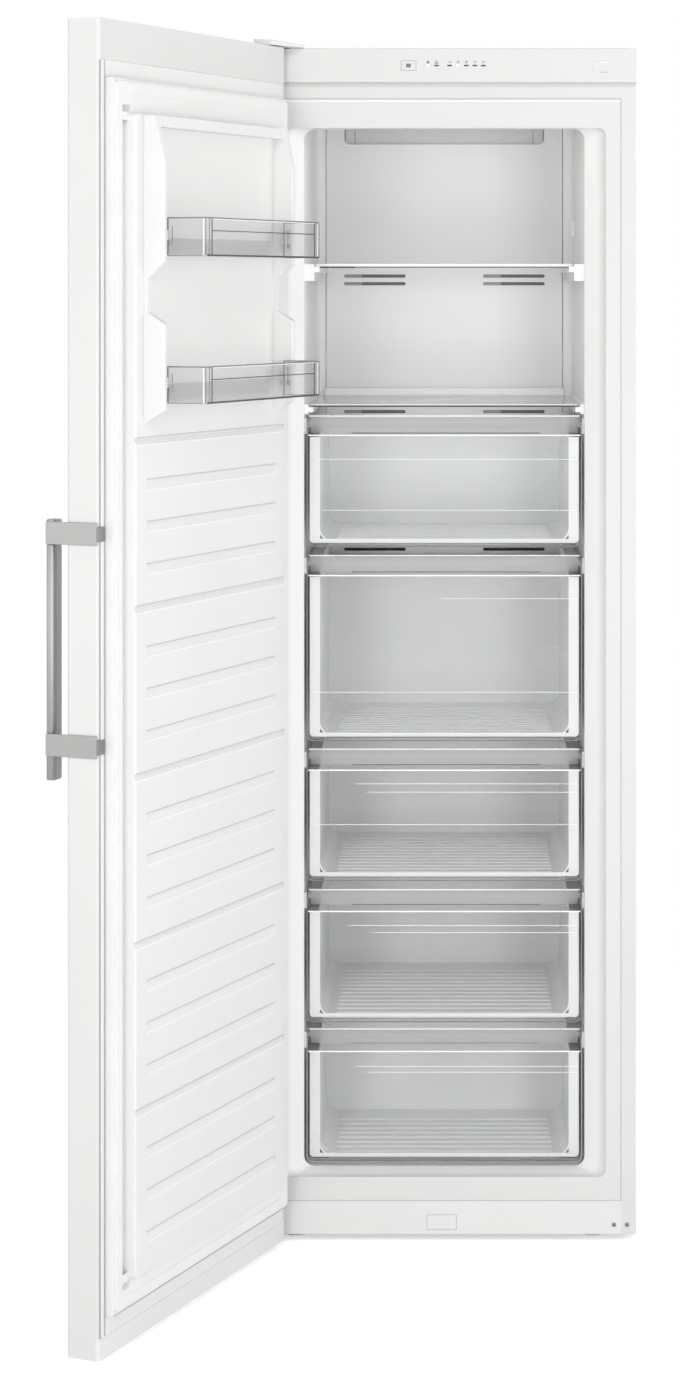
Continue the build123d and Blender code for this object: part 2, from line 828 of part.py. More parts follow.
# fan above the coil: motor plate with its ring, and the impeller that turns in it
fan_height = duct_top - 160
fan_radius = 55.0
fan_tip_gap = 2.5
fan_front = room_back + 14
fan_ring_depth = 22.0
motor_radius = 19.0
shaft_radius = 2.0
hub_radius = 18.0
hub_depth = 15.0
hub_nose = 3.0
hub_back = fan_front + fan_ring_depth - 3 - slip_gap
shaft_reach = slip_gap + hub_depth - hub_nose - seat_gap
with BuildPart() as fan_shroud:
    with BuildSketch(front_at(fan_front)):
        pane((-duct_half + slip_gap, duct_half - slip_gap), (fan_height - 70, fan_height + 70))
        with Locations((0, fan_height)):
            Circle(fan_radius + fan_tip_gap, mode=Mode.SUBTRACT)
    extrude(amount=-2)
    with BuildSketch(front_at(fan_front)):
        with Locations((0, fan_height)):
            Circle(fan_radius + fan_tip_gap + 2)
            Circle(fan_radius + fan_tip_gap, mode=Mode.SUBTRACT)
    extrude(amount=-fan_ring_depth)
    with BuildSketch(front_at(fan_front + fan_ring_depth - 3)):
        with Locations((0, fan_height)):
            Circle(motor_radius)
            for turn in (45, 135):
                Rectangle(2 * fan_radius + 2 * fan_tip_gap + 2, 6, rotation=turn)
    extrude(amount=-3)
    with BuildSketch(front_at(fan_front + fan_ring_depth)):
        with Locations((0, fan_height)):
            Circle(motor_radius)
    extrude(amount=-(duct_back - seat_gap - fan_front - fan_ring_depth))
    with BuildSketch(front_at(fan_front + fan_ring_depth - 3)):
        with Locations((0, fan_height)):
            Circle(shaft_radius)
    extrude(amount=shaft_reach)
fan_shroud.part.label = "fan_shroud"
export_step(fan_shroud.part, "parts/fan_shroud.step")

with BuildPart() as fan_rotor:
    blade_count = 5
    blade_size = (24.0, 1.6)
    blade_pitch = 26.0
    with BuildSketch(front_at(hub_back)):
        with Locations((0, fan_height)):
            Circle(hub_radius)
    extrude(amount=hub_depth)
    for blade in range(blade_count):
        turn = 360 / blade_count * blade
        outward = Vector(cos(radians(turn)), 0, sin(radians(turn)))
        root = Vector(0, y_at(hub_back) - hub_depth / 2, fan_height) + outward * (hub_radius - 4)
        with BuildSketch(Plane(origin=root, x_dir=(0, 1, 0), z_dir=outward)):
            Rectangle(*blade_size, rotation=90 - blade_pitch)
        extrude(amount=fan_radius - hub_radius + 3)
    with BuildSketch(front_at(hub_back)):
        with Locations((0, fan_height)):
            Circle(shaft_radius + running_gap)
    extrude(amount=hub_depth - hub_nose, mode=Mode.SUBTRACT)
fan_rotor.part.label = "fan_rotor"
export_step(fan_rotor.part, "parts/fan_rotor.step")

# ---------------------------------------------------------------- machine bay
compressor_x = -90.0
compressor_depth = body_depth - 106
compressor_base = 30.0
compressor_size = (190.0, 142.0, 138.0)
compressor_corner = 62.0
mount_spread = (176.0, 86.0)
with BuildPart() as compressor_tray:
    tray_half = inner_half - bay_sheet - slip_gap / 2
    block(
        (-tray_half, tray_half),
        (y_at(bay_depth + bay_sheet + seat_gap), y_at(body_depth - 2)),
        (body_bottom, body_bottom + tray_lip),
    )
    block(
        (-tray_half + tray_sheet, tray_half - tray_sheet),
        (y_at(bay_depth + bay_sheet + seat_gap + tray_sheet), y_at(body_depth - 2 - tray_sheet)),
        (body_bottom + tray_sheet, body_bottom + tray_lip + 1),
        mode=Mode.SUBTRACT,
    )
    for side in (-1, 1):
        x = side * roller_place[0]
        ear_span = roller_width / 2 + slip_gap
        block(
            (x - ear_span - ear_wall, x + ear_span + ear_wall),
            (y_at(roller_place[1] - roller_radius - 3), y_at(roller_place[1] + roller_radius + 3)),
            (0, body_bottom + tray_lip + 10),
            mode=Mode.SUBTRACT,
        )
        for wall_x in (x - ear_span - ear_wall, x + ear_span):
            with BuildSketch(side_at(wall_x)):
                pane(
                    (y_at(roller_place[1] - 12), y_at(roller_place[1] + 12)),
                    (body_bottom - 4, roller_radius + 12),
                )
                with Locations((y_at(roller_place[1]), roller_radius)):
                    Circle(axle_radius, mode=Mode.SUBTRACT)
            extrude(amount=ear_wall)
compressor_tray.part.label = "compressor_tray"
export_step(compressor_tray.part, "parts/compressor_tray.step")

with BuildPart() as roller_axles:
    for side in (-1, 1):
        x = side * roller_place[0]
        span = roller_width / 2 + slip_gap + ear_wall
        with BuildSketch(side_at(x - span)):
            with Locations((y_at(roller_place[1]), roller_radius)):
                Circle(axle_radius)
        extrude(amount=2 * span)
roller_axles.part.label = "roller_axles"
export_step(roller_axles.part, "parts/roller_axles.step")

for name, side in (("left", -1), ("right", 1)):
    with BuildPart() as rear_roller:
        with BuildSketch(side_at(side * roller_place[0] - roller_width / 2)):
            with Locations((y_at(roller_place[1]), roller_radius)):
                Circle(roller_radius)
                Circle(axle_radius + running_gap, mode=Mode.SUBTRACT)
        extrude(amount=roller_width)
    rear_roller.part.label = f"rear_roller_{name}"
    export_step(rear_roller.part, f"parts/rear_roller_{name}.step")

for name, side in (("left", -1), ("right", 1)):
    with BuildPart() as front_foot:
        with Locations((side * foot_place[0], y_at(foot_place[1]), 0)):
            Cylinder(foot_pad_radius, foot_pad_height, align=(Align.CENTER, Align.CENTER, Align.MIN))
            Cylinder(foot_stud_radius, foot_stud_top, align=(Align.CENTER, Align.CENTER, Align.MIN))
        pad_rims = front_foot.edges().filter_by(GeomType.CIRCLE).group_by(SortBy.RADIUS)[-1]
        chamfer(pad_rims.sort_by(Axis.Z)[-1], 2)
    front_foot.part.label = f"front_foot_{name}"
    export_step(front_foot.part, f"parts/front_foot_{name}.step")

# two pressed half shells, the weld flange between them, and the plate on the rubber mounts
with BuildPart() as compressor:
    for low, high, inset, lean in (
        (8, 22, 14, -40),
        (22, 60, 2, 0),
        (58, 62, -3, 0),
        (60, 98, 2, 0),
        (98, 118, 2, 30),
        (118, compressor_size[2], 14, 55),
    ):
        with BuildSketch(level_at(compressor_base + low)):
            with Locations((compressor_x, y_at(compressor_depth))):
                RectangleRounded(
                    compressor_size[0] - 2 * inset,
                    compressor_size[1] - 2 * inset,
                    compressor_corner - inset,
                )
        extrude(amount=high - low, taper=lean)
    with BuildSketch(level_at(compressor_base)):
        with Locations((compressor_x, y_at(compressor_depth))):
            RectangleRounded(210, 120, 14)
            with GridLocations(*mount_spread, 2, 2):
                Circle(6, mode=Mode.SUBTRACT)
    extrude(amount=3)
    with Locations((compressor_x, y_at(compressor_depth), compressor_base)):
        Cylinder(56, 12, align=(Align.CENTER, Align.CENTER, Align.MIN))
compressor.part.label = "compressor"
export_step(compressor.part, "parts/compressor.step")

mount_height = compressor_base - body_bottom - tray_sheet
with BuildPart() as compressor_mounts:
    with Locations((compressor_x, y_at(compressor_depth), body_bottom + tray_sheet)):
        with GridLocations(*mount_spread, 2, 2):
            Cylinder(11, mount_height, align=(Align.CENTER, Align.CENTER, Align.MIN))
            Cylinder(5.6, mount_height + 6, align=(Align.CENTER, Align.CENTER, Align.MIN))
compressor_mounts.part.label = "compressor_mounts"
export_step(compressor_mounts.part, "parts/compressor_mounts.step")

# box with the relay, on the compressor's end, with the mains inlet in its outer wall
terminal_x = compressor_x + compressor_size[0] / 2 + 3.3
with BuildPart() as terminal_box:
    block(
        (terminal_x, terminal_x + 42),
        (y_at(compressor_depth - 30), y_at(compressor_depth + 30)),
        (compressor_base + 30, compressor_base + 96),
    )
    fillet(terminal_box.faces().sort_by(Axis.X)[-1].edges(), 4)
    with BuildSketch(front_at(compressor_depth + 30)):
        with Locations((terminal_x + 21, compressor_base + 50)):
            Circle(8)
            Circle(4, mode=Mode.SUBTRACT)
    extrude(amount=-10)
terminal_box.part.label = "terminal_box"
export_step(terminal_box.part, "parts/terminal_box.step")

melt_tray_low = compressor_base + compressor_size[2] + seat_gap
melt_tray_high = bay_top - bay_sheet - 12
melt_tray_wall = 2.0
melt_tray_lean = -18
with BuildPart() as evaporating_tray:
    for inset, mode in ((0, Mode.ADD), (melt_tray_wall, Mode.SUBTRACT)):
        with BuildSketch(level_at(melt_tray_low + inset)):
            with Locations((compressor_x + 40, y_at(compressor_depth))):
                RectangleRounded(216 - 2 * inset, 120 - 2 * inset, 16 - inset)
        extrude(amount=melt_tray_high - melt_tray_low - inset, taper=melt_tray_lean, mode=mode)
evaporating_tray.part.label = "evaporating_tray"
export_step(evaporating_tray.part, "parts/evaporating_tray.step")

pipe_radius = 3.0
drier_x = 150.0
drier_depth = bay_depth + 56
drier_radius = 10.0
drier_neck = 14.0
pipe_bend = 9.0
pipe_sides = 10
drier_low = 60.0
drier_high = 150.0
with BuildPart() as filter_drier:
    with BuildSketch(side_at(0)):
        with BuildLine():
            Polyline(
                (y_at(drier_depth), drier_low),
                (y_at(drier_depth) + pipe_radius, drier_low),
                (y_at(drier_depth) + drier_radius, drier_low + drier_neck),
                (y_at(drier_depth) + drier_radius, drier_high - drier_neck),
                (y_at(drier_depth) + pipe_radius, drier_high),
                (y_at(drier_depth), drier_high),
                close=True,
            )
        make_face()
    revolve(axis=Axis((0, y_at(drier_depth), 0), (0, 0, 1)))
filter_drier.part = filter_drier.part.moved(Location((drier_x, 0, 0)))
filter_drier.part.label = "filter_drier"
export_step(filter_drier.part, "parts/filter_drier.step")

# copper lines: discharge to the drier's foot, suction up to the bay's wall, drier to the wall
with BuildPart() as refrigerant_pipes:
    suction_x = compressor_x - compressor_size[0] / 2
    routes = (
        (
            (suction_x - 3.4, y_at(compressor_depth), compressor_base + 84),
            (suction_x - 40, y_at(compressor_depth), compressor_base + 84),
            (suction_x - 40, y_at(compressor_depth), bay_top - bay_sheet - seat_gap),
        ),
        (
            (compressor_x + 60, y_at(compressor_depth - 64.5), compressor_base + 40),
            (compressor_x + 60, y_at(bay_depth + 14), compressor_base + 40),
            (drier_x, y_at(bay_depth + 14), compressor_base + 40),
            (drier_x, y_at(bay_depth + 14), drier_low - 20),
            (drier_x, y_at(drier_depth), drier_low - 20),
            (drier_x, y_at(drier_depth), drier_low - seat_gap),
        ),
        (
            (drier_x, y_at(drier_depth), drier_high + seat_gap),
            (drier_x, y_at(drier_depth), drier_high + 26),
            (drier_x, y_at(bay_depth + bay_sheet + seat_gap), drier_high + 26),
        ),
    )
    for route in routes:
        with BuildLine() as run:
            FilletPolyline(*route, radius=pipe_bend)
        with BuildSketch(Plane(origin=run.line @ 0, z_dir=run.line % 0)) as ring:
            RegularPolygon(pipe_radius, pipe_sides)
        sweep(sections=ring.sketch, path=run.line)
refrigerant_pipes.part.label = "refrigerant_pipes"
export_step(refrigerant_pipes.part, "parts/refrigerant_pipes.step")

# serpentine that gives its heat to the right-hand wall
condenser_x = inner_half - condenser_radius
condenser_points = []
for run_index in range(condenser_runs):
    run_y = y_at(condenser_front + condenser_pitch * run_index)
    ends = (condenser_low, condenser_high) if run_index % 2 == 0 else (condenser_high, condenser_low)
    for end in ends:
        condenser_points.append((condenser_x, run_y, end))
with BuildPart() as condenser_coil:
    with BuildLine() as serpentine:
        FilletPolyline(*condenser_points, radius=35)
    with BuildSketch(Plane(origin=serpentine.line @ 0, z_dir=serpentine.line % 0)):
        RegularPolygon(condenser_radius, coil_sides)
    sweep()
condenser_coil.part.label = "condenser_coil"
export_step(condenser_coil.part, "parts/condenser_coil.step")

# ---------------------------------------------------------------- shelves
trim_depth = 9.0
trim_height = 6.5
with BuildPart() as upper_shelf_glass:
    block(
        (-upper_shelf_half, upper_shelf_half),
        (y_at(upper_shelf_front + 3), y_at(shelf_back)),
        (upper_shelf_top - glass_wall, upper_shelf_top),
    )
    chamfer(upper_shelf_glass.edges().filter_by(Axis.Z), 2)
upper_shelf_glass.part.label = "upper_shelf_glass"
export_step(upper_shelf_glass.part, "parts/upper_shelf_glass.step")

with BuildPart() as upper_shelf_trim:
    block(
        (-upper_shelf_half, upper_shelf_half),
        (y_at(upper_shelf_front), y_at(upper_shelf_front + trim_depth)),
        (upper_shelf_top - glass_wall - 1.5, upper_shelf_top - glass_wall - 1.5 + trim_height),
    )
    fillet(upper_shelf_trim.edges().filter_by(Axis.X).group_by(Axis.Y)[0], 1.4)
    block(
        (-upper_shelf_half, upper_shelf_half),
        (y_at(upper_shelf_front + 3), y_at(upper_shelf_front + 60)),
        (upper_shelf_top - glass_wall, upper_shelf_top),
        mode=Mode.SUBTRACT,
    )
    for x in both_sides(upper_shelf_half - shelf_lip - 1, upper_shelf_half):
        block(
            x,
            (y_at(upper_shelf_front), y_at(upper_shelf_front + trim_depth)),
            (upper_shelf_top - 20, upper_shelf_top - glass_wall),
            mode=Mode.SUBTRACT,
        )
upper_shelf_trim.part.label = "upper_shelf_trim"
export_step(upper_shelf_trim.part, "parts/upper_shelf_trim.step")

with BuildPart() as lower_shelf_glass:
    block(
        (-lower_shelf_half, lower_shelf_half),
        (y_at(lower_shelf_front), y_at(shelf_back - 3)),
        (lower_shelf_top - glass_wall, lower_shelf_top),
    )
    chamfer(lower_shelf_glass.edges().filter_by(Axis.Z), 3)
lower_shelf_glass.part.label = "lower_shelf_glass"
export_step(lower_shelf_glass.part, "parts/lower_shelf_glass.step")

with BuildPart() as lower_shelf_trim:
    with BuildSketch(side_at(-lower_shelf_half + 10)):
        with BuildLine():
            Polyline(
                (y_at(shelf_back - 12), lower_shelf_top),
                (y_at(shelf_back - 3), lower_shelf_top),
                (y_at(shelf_back - 3), lower_shelf_top - glass_wall),
                (y_at(shelf_back), lower_shelf_top - glass_wall),
                (y_at(shelf_back), lower_shelf_top + 12),
                (y_at(shelf_back - 2), lower_shelf_top + 12),
                (y_at(shelf_back - 4), lower_shelf_top + 2),
                (y_at(shelf_back - 12), lower_shelf_top + 1.5),
                close=True,
            )
        make_face()
    extrude(amount=2 * lower_shelf_half - 20)
lower_shelf_trim.part.label = "lower_shelf_trim"
export_step(lower_shelf_trim.part, "parts/lower_shelf_trim.step")

# ---------------------------------------------------------------- drawers
for number in range(len(drawer_tops)):
    top = drawer_tops[number]
    bottom = drawer_bottoms[number]
    back = drawer_backs[number]
    rim_top = top - tub_rim_drop
    floor_low = bottom + tub_lift
    frame_depth = throat_depth + drawer_front_rim + seat_gap
    shelf_of_grip = top - grip_drop

    # white tub: round-bottomed trough, rear wall, rim that rides on the runners
    with BuildPart() as drawer_bin:
        with BuildSketch(front_at(frame_depth)):
            pane((-tub_outer_half, tub_outer_half), (floor_low, rim_top))
            fillet(vertices().group_by(Axis.Y)[0], tub_corner + tub_wall)
        extrude(amount=-(back - frame_depth))
        with BuildSketch(front_at(frame_depth)):
            pane((-tub_half, tub_half), (floor_low + tub_wall, rim_top))
            fillet(vertices().group_by(Axis.Y)[0], tub_corner)
        extrude(amount=-(back - frame_depth - tub_wall), mode=Mode.SUBTRACT)
        for x in both_sides(tub_half, tub_rim_half):
            block(x, (y_at(runner_front), y_at(back)), (rim_top - tub_rim_wall, rim_top))
        block(
            (-tub_rim_half, tub_rim_half),
            (y_at(back - tub_wall), y_at(back + 3)),
            (rim_top - tub_rim_wall, rim_top),
        )
        # rear wall kept low, under a rim of its own, so that the cold air blows in over it
        low_rim = top - tub_back_drop
        block(
            (-tub_half, tub_half),
            (y_at(back - tub_wall), y_at(back + 4)),
            (low_rim, top),
            mode=Mode.SUBTRACT,
        )
        block(
            (-tub_half, tub_half),
            (y_at(back - tub_wall), y_at(back + 3)),
            (low_rim - tub_rim_wall, low_rim),
        )
        # frame behind the clear front, and the cut that leaves room for the grip
        with BuildSketch(front_at(frame_depth)):
            pane((-tub_frame_half, tub_frame_half), (floor_low, shelf_of_grip - 4))
            pane((-tub_half, tub_half), (floor_low + tub_wall + 4, rim_top), mode=Mode.SUBTRACT)
            fillet(vertices().group_by(Axis.Y)[0], drawer_front_corner - 3)
        extrude(amount=-tub_wall)
        block(
            (-tub_rim_half, tub_rim_half),
            (y_at(frame_depth - 1), y_at(runner_front)),
            (shelf_of_grip - drawer_front_wall - slip_gap, top),
            mode=Mode.SUBTRACT,
        )
        rib_count = int((back - frame_depth - 2 * tub_corner) / floor_rib_pitch)
        for rib in range(rib_count):
            rib_y = y_at(frame_depth + tub_corner + rib * floor_rib_pitch)
            block(
                (-floor_rib_half, floor_rib_half),
                (rib_y, rib_y + floor_rib_width),
                (floor_low + tub_wall, floor_low + tub_wall + floor_rib_height),
            )
    drawer_bin.part.label = f"drawer_bin_{number + 1}"
    export_step(drawer_bin.part, f"parts/drawer_bin_{number + 1}.step")

    # clear front: shallow tray with a pocket along its top for the fingers
    with BuildPart() as drawer_front:
        with BuildSketch(front_at(throat_depth)):
            pane((-drawer_front_half, drawer_front_half), (bottom, shelf_of_grip))
            fillet(vertices().group_by(Axis.Y)[0], drawer_front_corner)
        extrude(amount=-drawer_front_rim)
        with BuildSketch(front_at(throat_depth + drawer_front_wall)):
            pane(
                (-drawer_front_half + drawer_front_wall, drawer_front_half - drawer_front_wall),
                (bottom + drawer_front_wall, shelf_of_grip - drawer_front_wall),
            )
            fillet(vertices().group_by(Axis.Y)[0], drawer_front_corner - drawer_front_wall)
        extrude(amount=-drawer_front_rim, mode=Mode.SUBTRACT)
        pocket_back = throat_depth + grip_depth
        with BuildSketch(side_at(-drawer_front_half)):
            with BuildLine():
                Polyline(
                    (y_at(throat_depth), shelf_of_grip),
                    (y_at(pocket_back), shelf_of_grip),
                    (y_at(pocket_back - grip_lean), top - 1.5),
                    (y_at(pocket_back - grip_lean - 3), top - 1.5),
                    (y_at(pocket_back - grip_lean - 3), top),
                    (y_at(pocket_back - grip_lean + 3), top),
                    (y_at(pocket_back + 3), shelf_of_grip),
                    (y_at(pocket_back + 3), shelf_of_grip - drawer_front_wall),
                    (y_at(throat_depth), shelf_of_grip - drawer_front_wall),
                    close=True,
                )
            make_face()
        extrude(amount=2 * drawer_front_half)
        for x in (-drawer_front_half, drawer_front_half - drawer_front_wall):
            with BuildSketch(side_at(x)):
                with BuildLine():
                    Polyline(
                        (y_at(throat_depth), shelf_of_grip - 1),
                        (y_at(throat_depth + 5), top - 9),
                        (y_at(pocket_back - grip_lean - 2), top),
                        (y_at(pocket_back - grip_lean + 2), top),
                        (y_at(pocket_back + 1), shelf_of_grip - 1),
                        close=True,
                    )
                make_face()
            extrude(amount=drawer_front_wall)
    drawer_front.part.label = f"drawer_front_{number + 1}"
    export_step(drawer_front.part, f"parts/drawer_front_{number + 1}.step")


# ---------------------------------------------------------------- door
def hang(part):
    """The door's pieces are drawn shut; this swings one open about the hinge pins."""
    return part.rotate(hinge_axis, -door_swing)


def proud(distance):
    """Y of a place on the shut door, measured from its inner face towards the cabinet."""
    return door_face_y + distance


def door_outline(inset):
    """Plan of the door block, drawn in the sketch that is open."""
    with Locations((0, (door_face_y + door_outer_y) / 2)):
        RectangleRounded(
            body_width - 2 * inset,
            door_thickness - 2 * inset,
            door_edge_radius - inset if inset < door_edge_radius - 1 else 1,
        )


with BuildPart() as door_skin:
    with BuildSketch(level_at(door_bottom + cap_lip)):
        door_outline(0)
    extrude(amount=door_top - door_bottom - 2 * cap_lip)
    with BuildSketch(level_at(door_bottom)):
        door_outline(sheet)
    extrude(amount=door_top - door_bottom, mode=Mode.SUBTRACT)
    block(
        (-half + skin_return, half - skin_return),
        (proud(-5), proud(1)),
        (door_bottom, door_top),
        mode=Mode.SUBTRACT,
    )
    for low, high in ((door_bottom, bottom_cap_top), (top_cap_bottom, door_top)):
        block((-half, half), (proud(-door_edge_radius), proud(1)), (low, high), mode=Mode.SUBTRACT)
door_skin.part.label = "door_skin"
export_step(hang(door_skin.part), "parts/door_skin.step")

# end caps: a lip over the skin's end, a wall on the inner face and the hinge pin's socket
pin_bore = pin_radius + running_gap
for name, low, high, lip_low, socket_low in (
    ("door_top_cap", top_cap_bottom, door_top, door_top - cap_lip, door_top - socket_height),
    ("door_bottom_cap", door_bottom, bottom_cap_top, door_bottom, body_bottom + seat_gap),
):
    with BuildPart() as door_cap:
        with BuildSketch(level_at(low)):
            door_outline(0)
        extrude(amount=high - low)
        with BuildSketch(level_at(low)):
            door_outline(cap_wall)
        extrude(amount=high - low, mode=Mode.SUBTRACT)
        block((-half, half), (door_outer_y, proud(-door_edge_radius)), (low, high), mode=Mode.SUBTRACT)
        with BuildSketch(level_at(lip_low)):
            door_outline(0)
        extrude(amount=cap_lip)
        with BuildSketch(level_at(socket_low)):
            with Locations((pin_x, pin_y)):
                Circle(pin_radius + socket_wall)
        extrude(amount=socket_height)
        with BuildSketch(level_at(socket_low)):
            with Locations((pin_x, pin_y)):
                Circle(pin_bore)
        extrude(amount=socket_height, mode=Mode.SUBTRACT)
    door_cap.part.label = name
    export_step(hang(door_cap.part), f"parts/{name}.step")


def dyke_side():
    """Side view of the dykes that carry the bins, drawn in Y and Z."""
    with BuildLine() as side_line:
        Polyline(
            (proud(plug_height - 3), dyke_top),
            (proud(dyke_top_proud), dyke_top),
            (proud(dyke_proud), plug_top - upper_slope_drop),
            (proud(dyke_proud), plug_top - upper_bay_drop),
            (proud(dyke_waist_proud), plug_top - waist_top_drop),
            (proud(dyke_waist_proud), plug_top - waist_bottom_drop),
            (proud(dyke_proud), plug_top - lower_slope_drop),
            (proud(dyke_proud), plug_top - lower_bay_drop),
            (proud(plug_height), dyke_foot),
            (proud(plug_height - 3), dyke_foot),
            close=True,
        )
    make_face(side_line.edges())


# foam core of the door, with the plug's and the dykes' cores
core_inset = 2.0
dyke_crest_radius = 3.0
with BuildPart() as door_foam:
    with BuildSketch(level_at(door_bottom + cap_lip)):
        door_outline(sheet)
    extrude(amount=door_top - door_bottom - 2 * cap_lip)
    block((-half, half), (proud(-liner_wall), proud(1)), (door_bottom, door_top), mode=Mode.SUBTRACT)
    for low, high in ((door_bottom, bottom_cap_top), (top_cap_bottom, door_top)):
        block((-half, half), (proud(-door_edge_radius), proud(1)), (low, high), mode=Mode.SUBTRACT)
    for low in (door_bottom, door_top - socket_height):
        with BuildSketch(level_at(low)):
            with Locations((pin_x, pin_y)):
                Circle(pin_radius + socket_wall)
        extrude(amount=socket_height, mode=Mode.SUBTRACT)
    with BuildSketch(Plane(origin=(0, proud(-liner_wall - 1), 0), x_dir=(-1, 0, 0), z_dir=(0, 1, 0))):
        soft_pane(
            (-plug_half + 4 * core_inset, plug_half - 4 * core_inset),
            (plug_bottom + 4 * core_inset, plug_top - 4 * core_inset),
            plug_radius,
        )
    extrude(amount=plug_height - plug_face_wall + liner_wall + 1)
    for x in (-dyke_outer_half + core_inset, dyke_inner_half + core_inset):
        with BuildSketch(side_at(x)):
            dyke_side()
            offset(amount=-core_inset, kind=Kind.INTERSECTION)
            pane(
                (proud(plug_height - plug_face_wall - 1), proud(plug_height)),
                (dyke_foot + 15, dyke_top - 4),
            )
        extrude(amount=dyke_outer_half - dyke_inner_half - 2 * core_inset)
door_foam.part.label = "door_foam"
export_step(hang(door_foam.part), "parts/door_foam.step")

# thermoformed door liner: the plug with its grooved panels, and the dykes round the bins
with BuildPart() as door_liner:
    with BuildSketch(Plane(origin=(0, proud(0), 0), x_dir=(-1, 0, 0), z_dir=(0, 1, 0))):
        soft_pane((-plug_half, plug_half), (plug_bottom, plug_top), plug_radius)
    extrude(amount=plug_height, taper=plug_draft)
    fillet(door_liner.faces().sort_by(Axis.Y)[-1].edges(), 3.5)
    edge_half = half - skin_return - liner_edge_gap
    block(
        (-edge_half, edge_half),
        (proud(-liner_wall), proud(0)),
        (bottom_cap_top + seat_gap, top_cap_bottom - seat_gap),
    )
    for x in (-dyke_outer_half, dyke_inner_half):
        with BuildSketch(side_at(x)):
            dyke_side()
        extrude(amount=dyke_outer_half - dyke_inner_half)
    block(
        (-dyke_outer_half, dyke_outer_half),
        (proud(plug_height - 3), proud(dyke_top_proud)),
        (dyke_top - dyke_bridge_wall, dyke_top),
    )
    upright = door_liner.edges().filter_by(Axis.Z)
    fillet(upright.filter_by_position(Axis.Y, proud(dyke_proud - 1), proud(dyke_proud + 1)), dyke_crest_radius)
    # pegs that the bins hang on
    for peg_foot in bin_bottoms:
        for x in both_sides(bin_half + 3 * peg_gap, dyke_inner_half + 1):
            block(
                x,
                (proud(peg_proud_from_face), proud(peg_proud_from_face + peg_width)),
                (peg_foot + peg_rise, peg_foot + peg_rise + peg_height),
            )
    # panel grooves run the plug's full width, rib grooves stop short of its sides
    for panel in range(panel_groove_count):
        groove_top = plug_top - panel_drop - panel * panel_groove_pitch
        grooves = [(groove_top, panel_groove_height, panel_groove_depth, plug_half + 4)]
        for rib in range(1, 4):
            grooves.append(
                (groove_top - rib * rib_groove_pitch, rib_groove_height, rib_groove_depth, rib_groove_half)
            )
        for high, height, depth, reach in grooves:
            with BuildSketch(side_at(-reach)):
                with BuildLine():
                    Polyline(
                        (proud(plug_height + 1), high + 0.5),
                        (proud(plug_height - depth), high - 1),
                        (proud(plug_height - depth), high - height * 0.3),
                        (proud(plug_height + 1), high - height),
                        close=True,
                    )
                make_face()
            extrude(amount=2 * reach, mode=Mode.SUBTRACT)
    # channel that the gasket is pressed into
    with BuildSketch(Plane(origin=(0, proud(0), 0), x_dir=(-1, 0, 0), z_dir=(0, 1, 0))):
        pane(
            (-gasket_outer_half - slip_gap, gasket_outer_half + slip_gap),
            (gasket_bottom - slip_gap, gasket_top + slip_gap),
        )
        pane(
            (-gasket_inner_half + slip_gap, gasket_inner_half - slip_gap),
            (gasket_bottom + gasket_width + slip_gap, gasket_top - gasket_width - slip_gap),
            mode=Mode.SUBTRACT,
        )
    extrude(amount=-gasket_groove, mode=Mode.SUBTRACT)
    add(door_foam.part, mode=Mode.SUBTRACT)
door_liner.part.label = "door_liner"
export_step(hang(door_liner.part), "parts/door_liner.step")

# magnetic gasket: foot in the channel, waist, bellows and the magnet's strip
with BuildPart() as door_gasket:
    for low, high, inset in (
        (-gasket_groove, 3.0, 0.0),
        (3.0, 5.5, 5.0),
        (5.5, 12.0, 1.5),
        (12.0, gasket_height, 5.0),
    ):
        with BuildSketch(Plane(origin=(0, proud(low), 0), x_dir=(-1, 0, 0), z_dir=(0, 1, 0))):
            soft_pane(
                (-gasket_outer_half + inset, gasket_outer_half - inset),
                (gasket_bottom + inset, gasket_top - inset),
                4,
            )
            pane(
                (-gasket_inner_half - inset, gasket_inner_half + inset),
                (gasket_bottom + gasket_width - inset, gasket_top - gasket_width + inset),
                mode=Mode.SUBTRACT,
            )
        extrude(amount=high - low)
door_gasket.part.label = "door_gasket"
export_step(hang(door_gasket.part), "parts/door_gasket.step")

# handle bar and the two straps that hold it to the free edge
bar_inner_y = door_outer_y - handle_stand_off
handle_radius = 4.0
handle_chamfer = 1.0
with BuildPart() as handle_bar:
    with BuildSketch(level_at(handle_bottom)):
        soft_pane((half - handle_width, half), (bar_inner_y - handle_wall, bar_inner_y), handle_radius)
    extrude(amount=handle_top - handle_bottom)
    chamfer(handle_bar.faces().sort_by(Axis.Z)[0].edges(), handle_chamfer)
    chamfer(handle_bar.faces().sort_by(Axis.Z)[-1].edges(), handle_chamfer)
handle_bar.part.label = "handle_bar"
export_step(hang(handle_bar.part), "parts/handle_bar.step")

with BuildPart() as handle_brackets:
    for center in bracket_centers:
        with BuildSketch(level_at(center - bracket_height / 2)):
            with BuildLine():
                Polyline(
                    (half, bar_inner_y - handle_wall - 1),
                    (half + bracket_wall, bar_inner_y - handle_wall - 1),
                    (half + bracket_wall, proud(-2)),
                    (half, proud(-2)),
                    close=True,
                )
            make_face()
        extrude(amount=bracket_height)
        with BuildSketch(level_at(center - bracket_tab_height / 2)):
            with BuildLine():
                Polyline(
                    (half, proud(-3)),
                    (half + bracket_wall, proud(-3)),
                    (half + bracket_wall, proud(1)),
                    (half + bracket_wall - 1.5, proud(bracket_wall)),
                    (half - bracket_tab_reach, proud(bracket_wall)),
                    (half - bracket_tab_reach, proud(0)),
                    (half, proud(0)),
                    close=True,
                )
            make_face()
        extrude(amount=bracket_tab_height)
handle_brackets.part.label = "handle_brackets"
export_step(hang(handle_brackets.part), "parts/handle_brackets.step")

